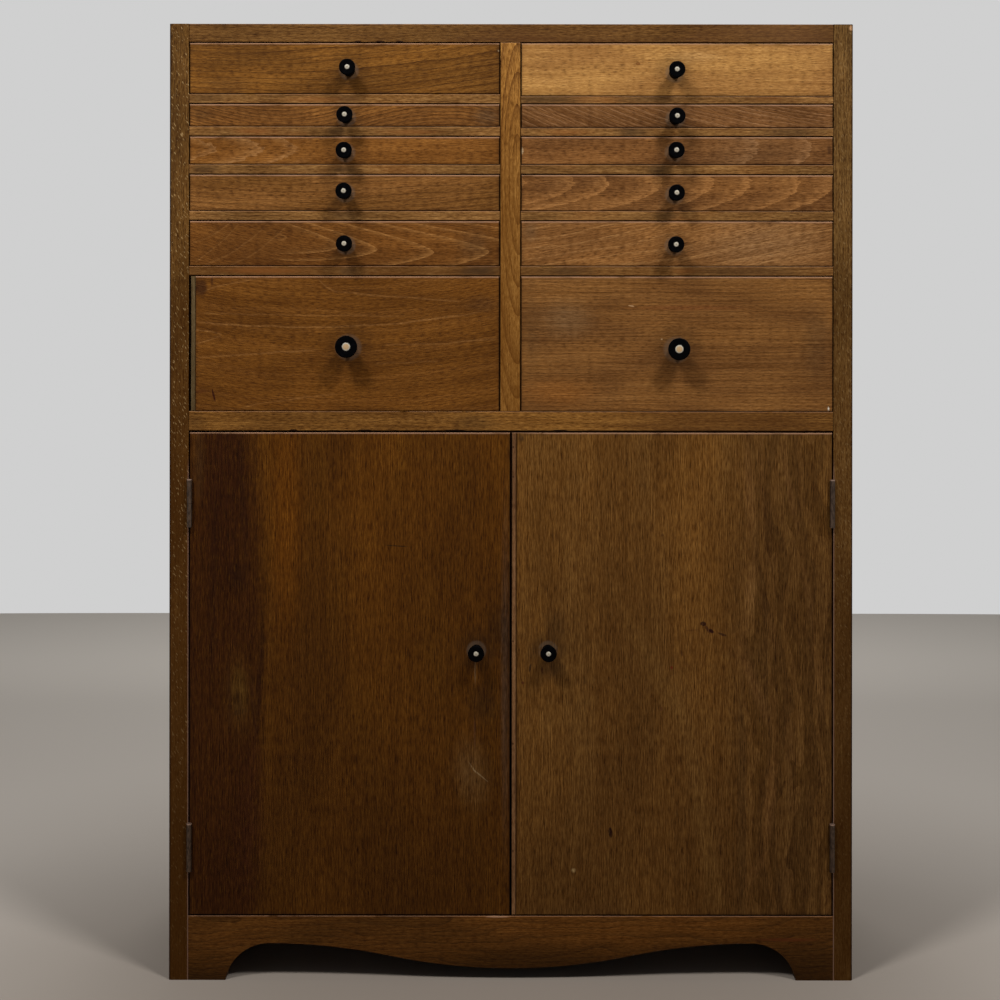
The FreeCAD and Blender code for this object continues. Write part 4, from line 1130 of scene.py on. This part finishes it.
cover = Finish("studio_floor_paint", roughness=0.8, specular=0.1)
soft = cover.clouds((cover.x, cover.y, cover.z), (900, 900, 900), 2)
away = (cover.x * cover.x + (cover.y + 300) * (cover.y + 300)) ** 0.5 + (soft - 0.5) * 200
# Painted shade and light: the floor is darker near the cabinet, a painted pool of shade, and paler
# farther out and behind, painted light where the lamps' light falls off.
cover.colour = blend(between(away, 150, 1300), paint(148, 137, 126), paint(216, 207, 197))
cover.colour = blend(between(cover.y, 600, 2500), cover.colour, paint(226, 218, 208))
# Painted light: a faint glow, seen by camera, glossy and transmission rays, lifts the floor away from
# the cabinet.
lift = between(away, 450, 1100) * straight(away)
glow = blend(lift, (0, 0, 0, 1), (0.02, 0.018, 0.015, 1))
cover.shader.inputs["Emission Strength"].default_value = 1
cover.shader.id_data.links.new(glow.socket, cover.shader.inputs["Emission Color"])
cover.give(floor)

BACKDROP = 0.63
FILL = 0.095

world = bpy.data.worlds.new("studio_backdrop")
bpy.context.scene.world = world
world.use_nodes = True
lamp_shader = world.node_tree.nodes["Background"]
strength = straight(Value(lamp_shader.outputs[0])) * (BACKDROP - FILL) + FILL
world.node_tree.links.new(strength.socket, lamp_shader.inputs["Strength"])
lamp_shader.inputs["Color"].default_value = (1, 1, 1, 1)

# The place of each lamp in metres, the point it is aimed at, its width and its power.
LAMPS = {
    "lamp_left": ((-0.9, -1.5, 2.3), (0, -0.18, 0.75), 0.48, 28.5),
    "lamp_right": ((0.9, -1.5, 2.3), (0, -0.18, 0.75), 0.48, 28.5),
    "lamp_behind": ((0, 2.4, 2.5), (0, 0.2, 0.6), 1, 18),
}

for name, (place, aim, width, power) in LAMPS.items():
    light = bpy.data.lights.new(name, "AREA")
    light.shape = "DISK"
    light.size = width
    light.energy = power
    lamp = bpy.data.objects.new(name, light)
    lamp.location = place
    towards = mathutils.Vector(aim) - lamp.location
    lamp.rotation_euler = towards.to_track_quat("-Z", "Y").to_euler()
    lamp.visible_camera = False
    bpy.context.scene.collection.objects.link(lamp)


# ---------------- camera
# Level, a little above half height, with a small downward shift to take in the feet.

CAMERA_PLACE = (-0.012, -2.0257, 0.654)

camera = bpy.data.objects.new("camera", bpy.data.cameras.new("camera"))
camera.location = CAMERA_PLACE
camera.rotation_euler = (math.radians(90), math.radians(-0.06), 0)
camera.data.lens = 61.2
camera.data.sensor_width = 36
camera.data.shift_y = -0.124
bpy.context.scene.collection.objects.link(camera)
bpy.context.scene.camera = camera
bpy.context.scene.view_settings.view_transform = "Standard"
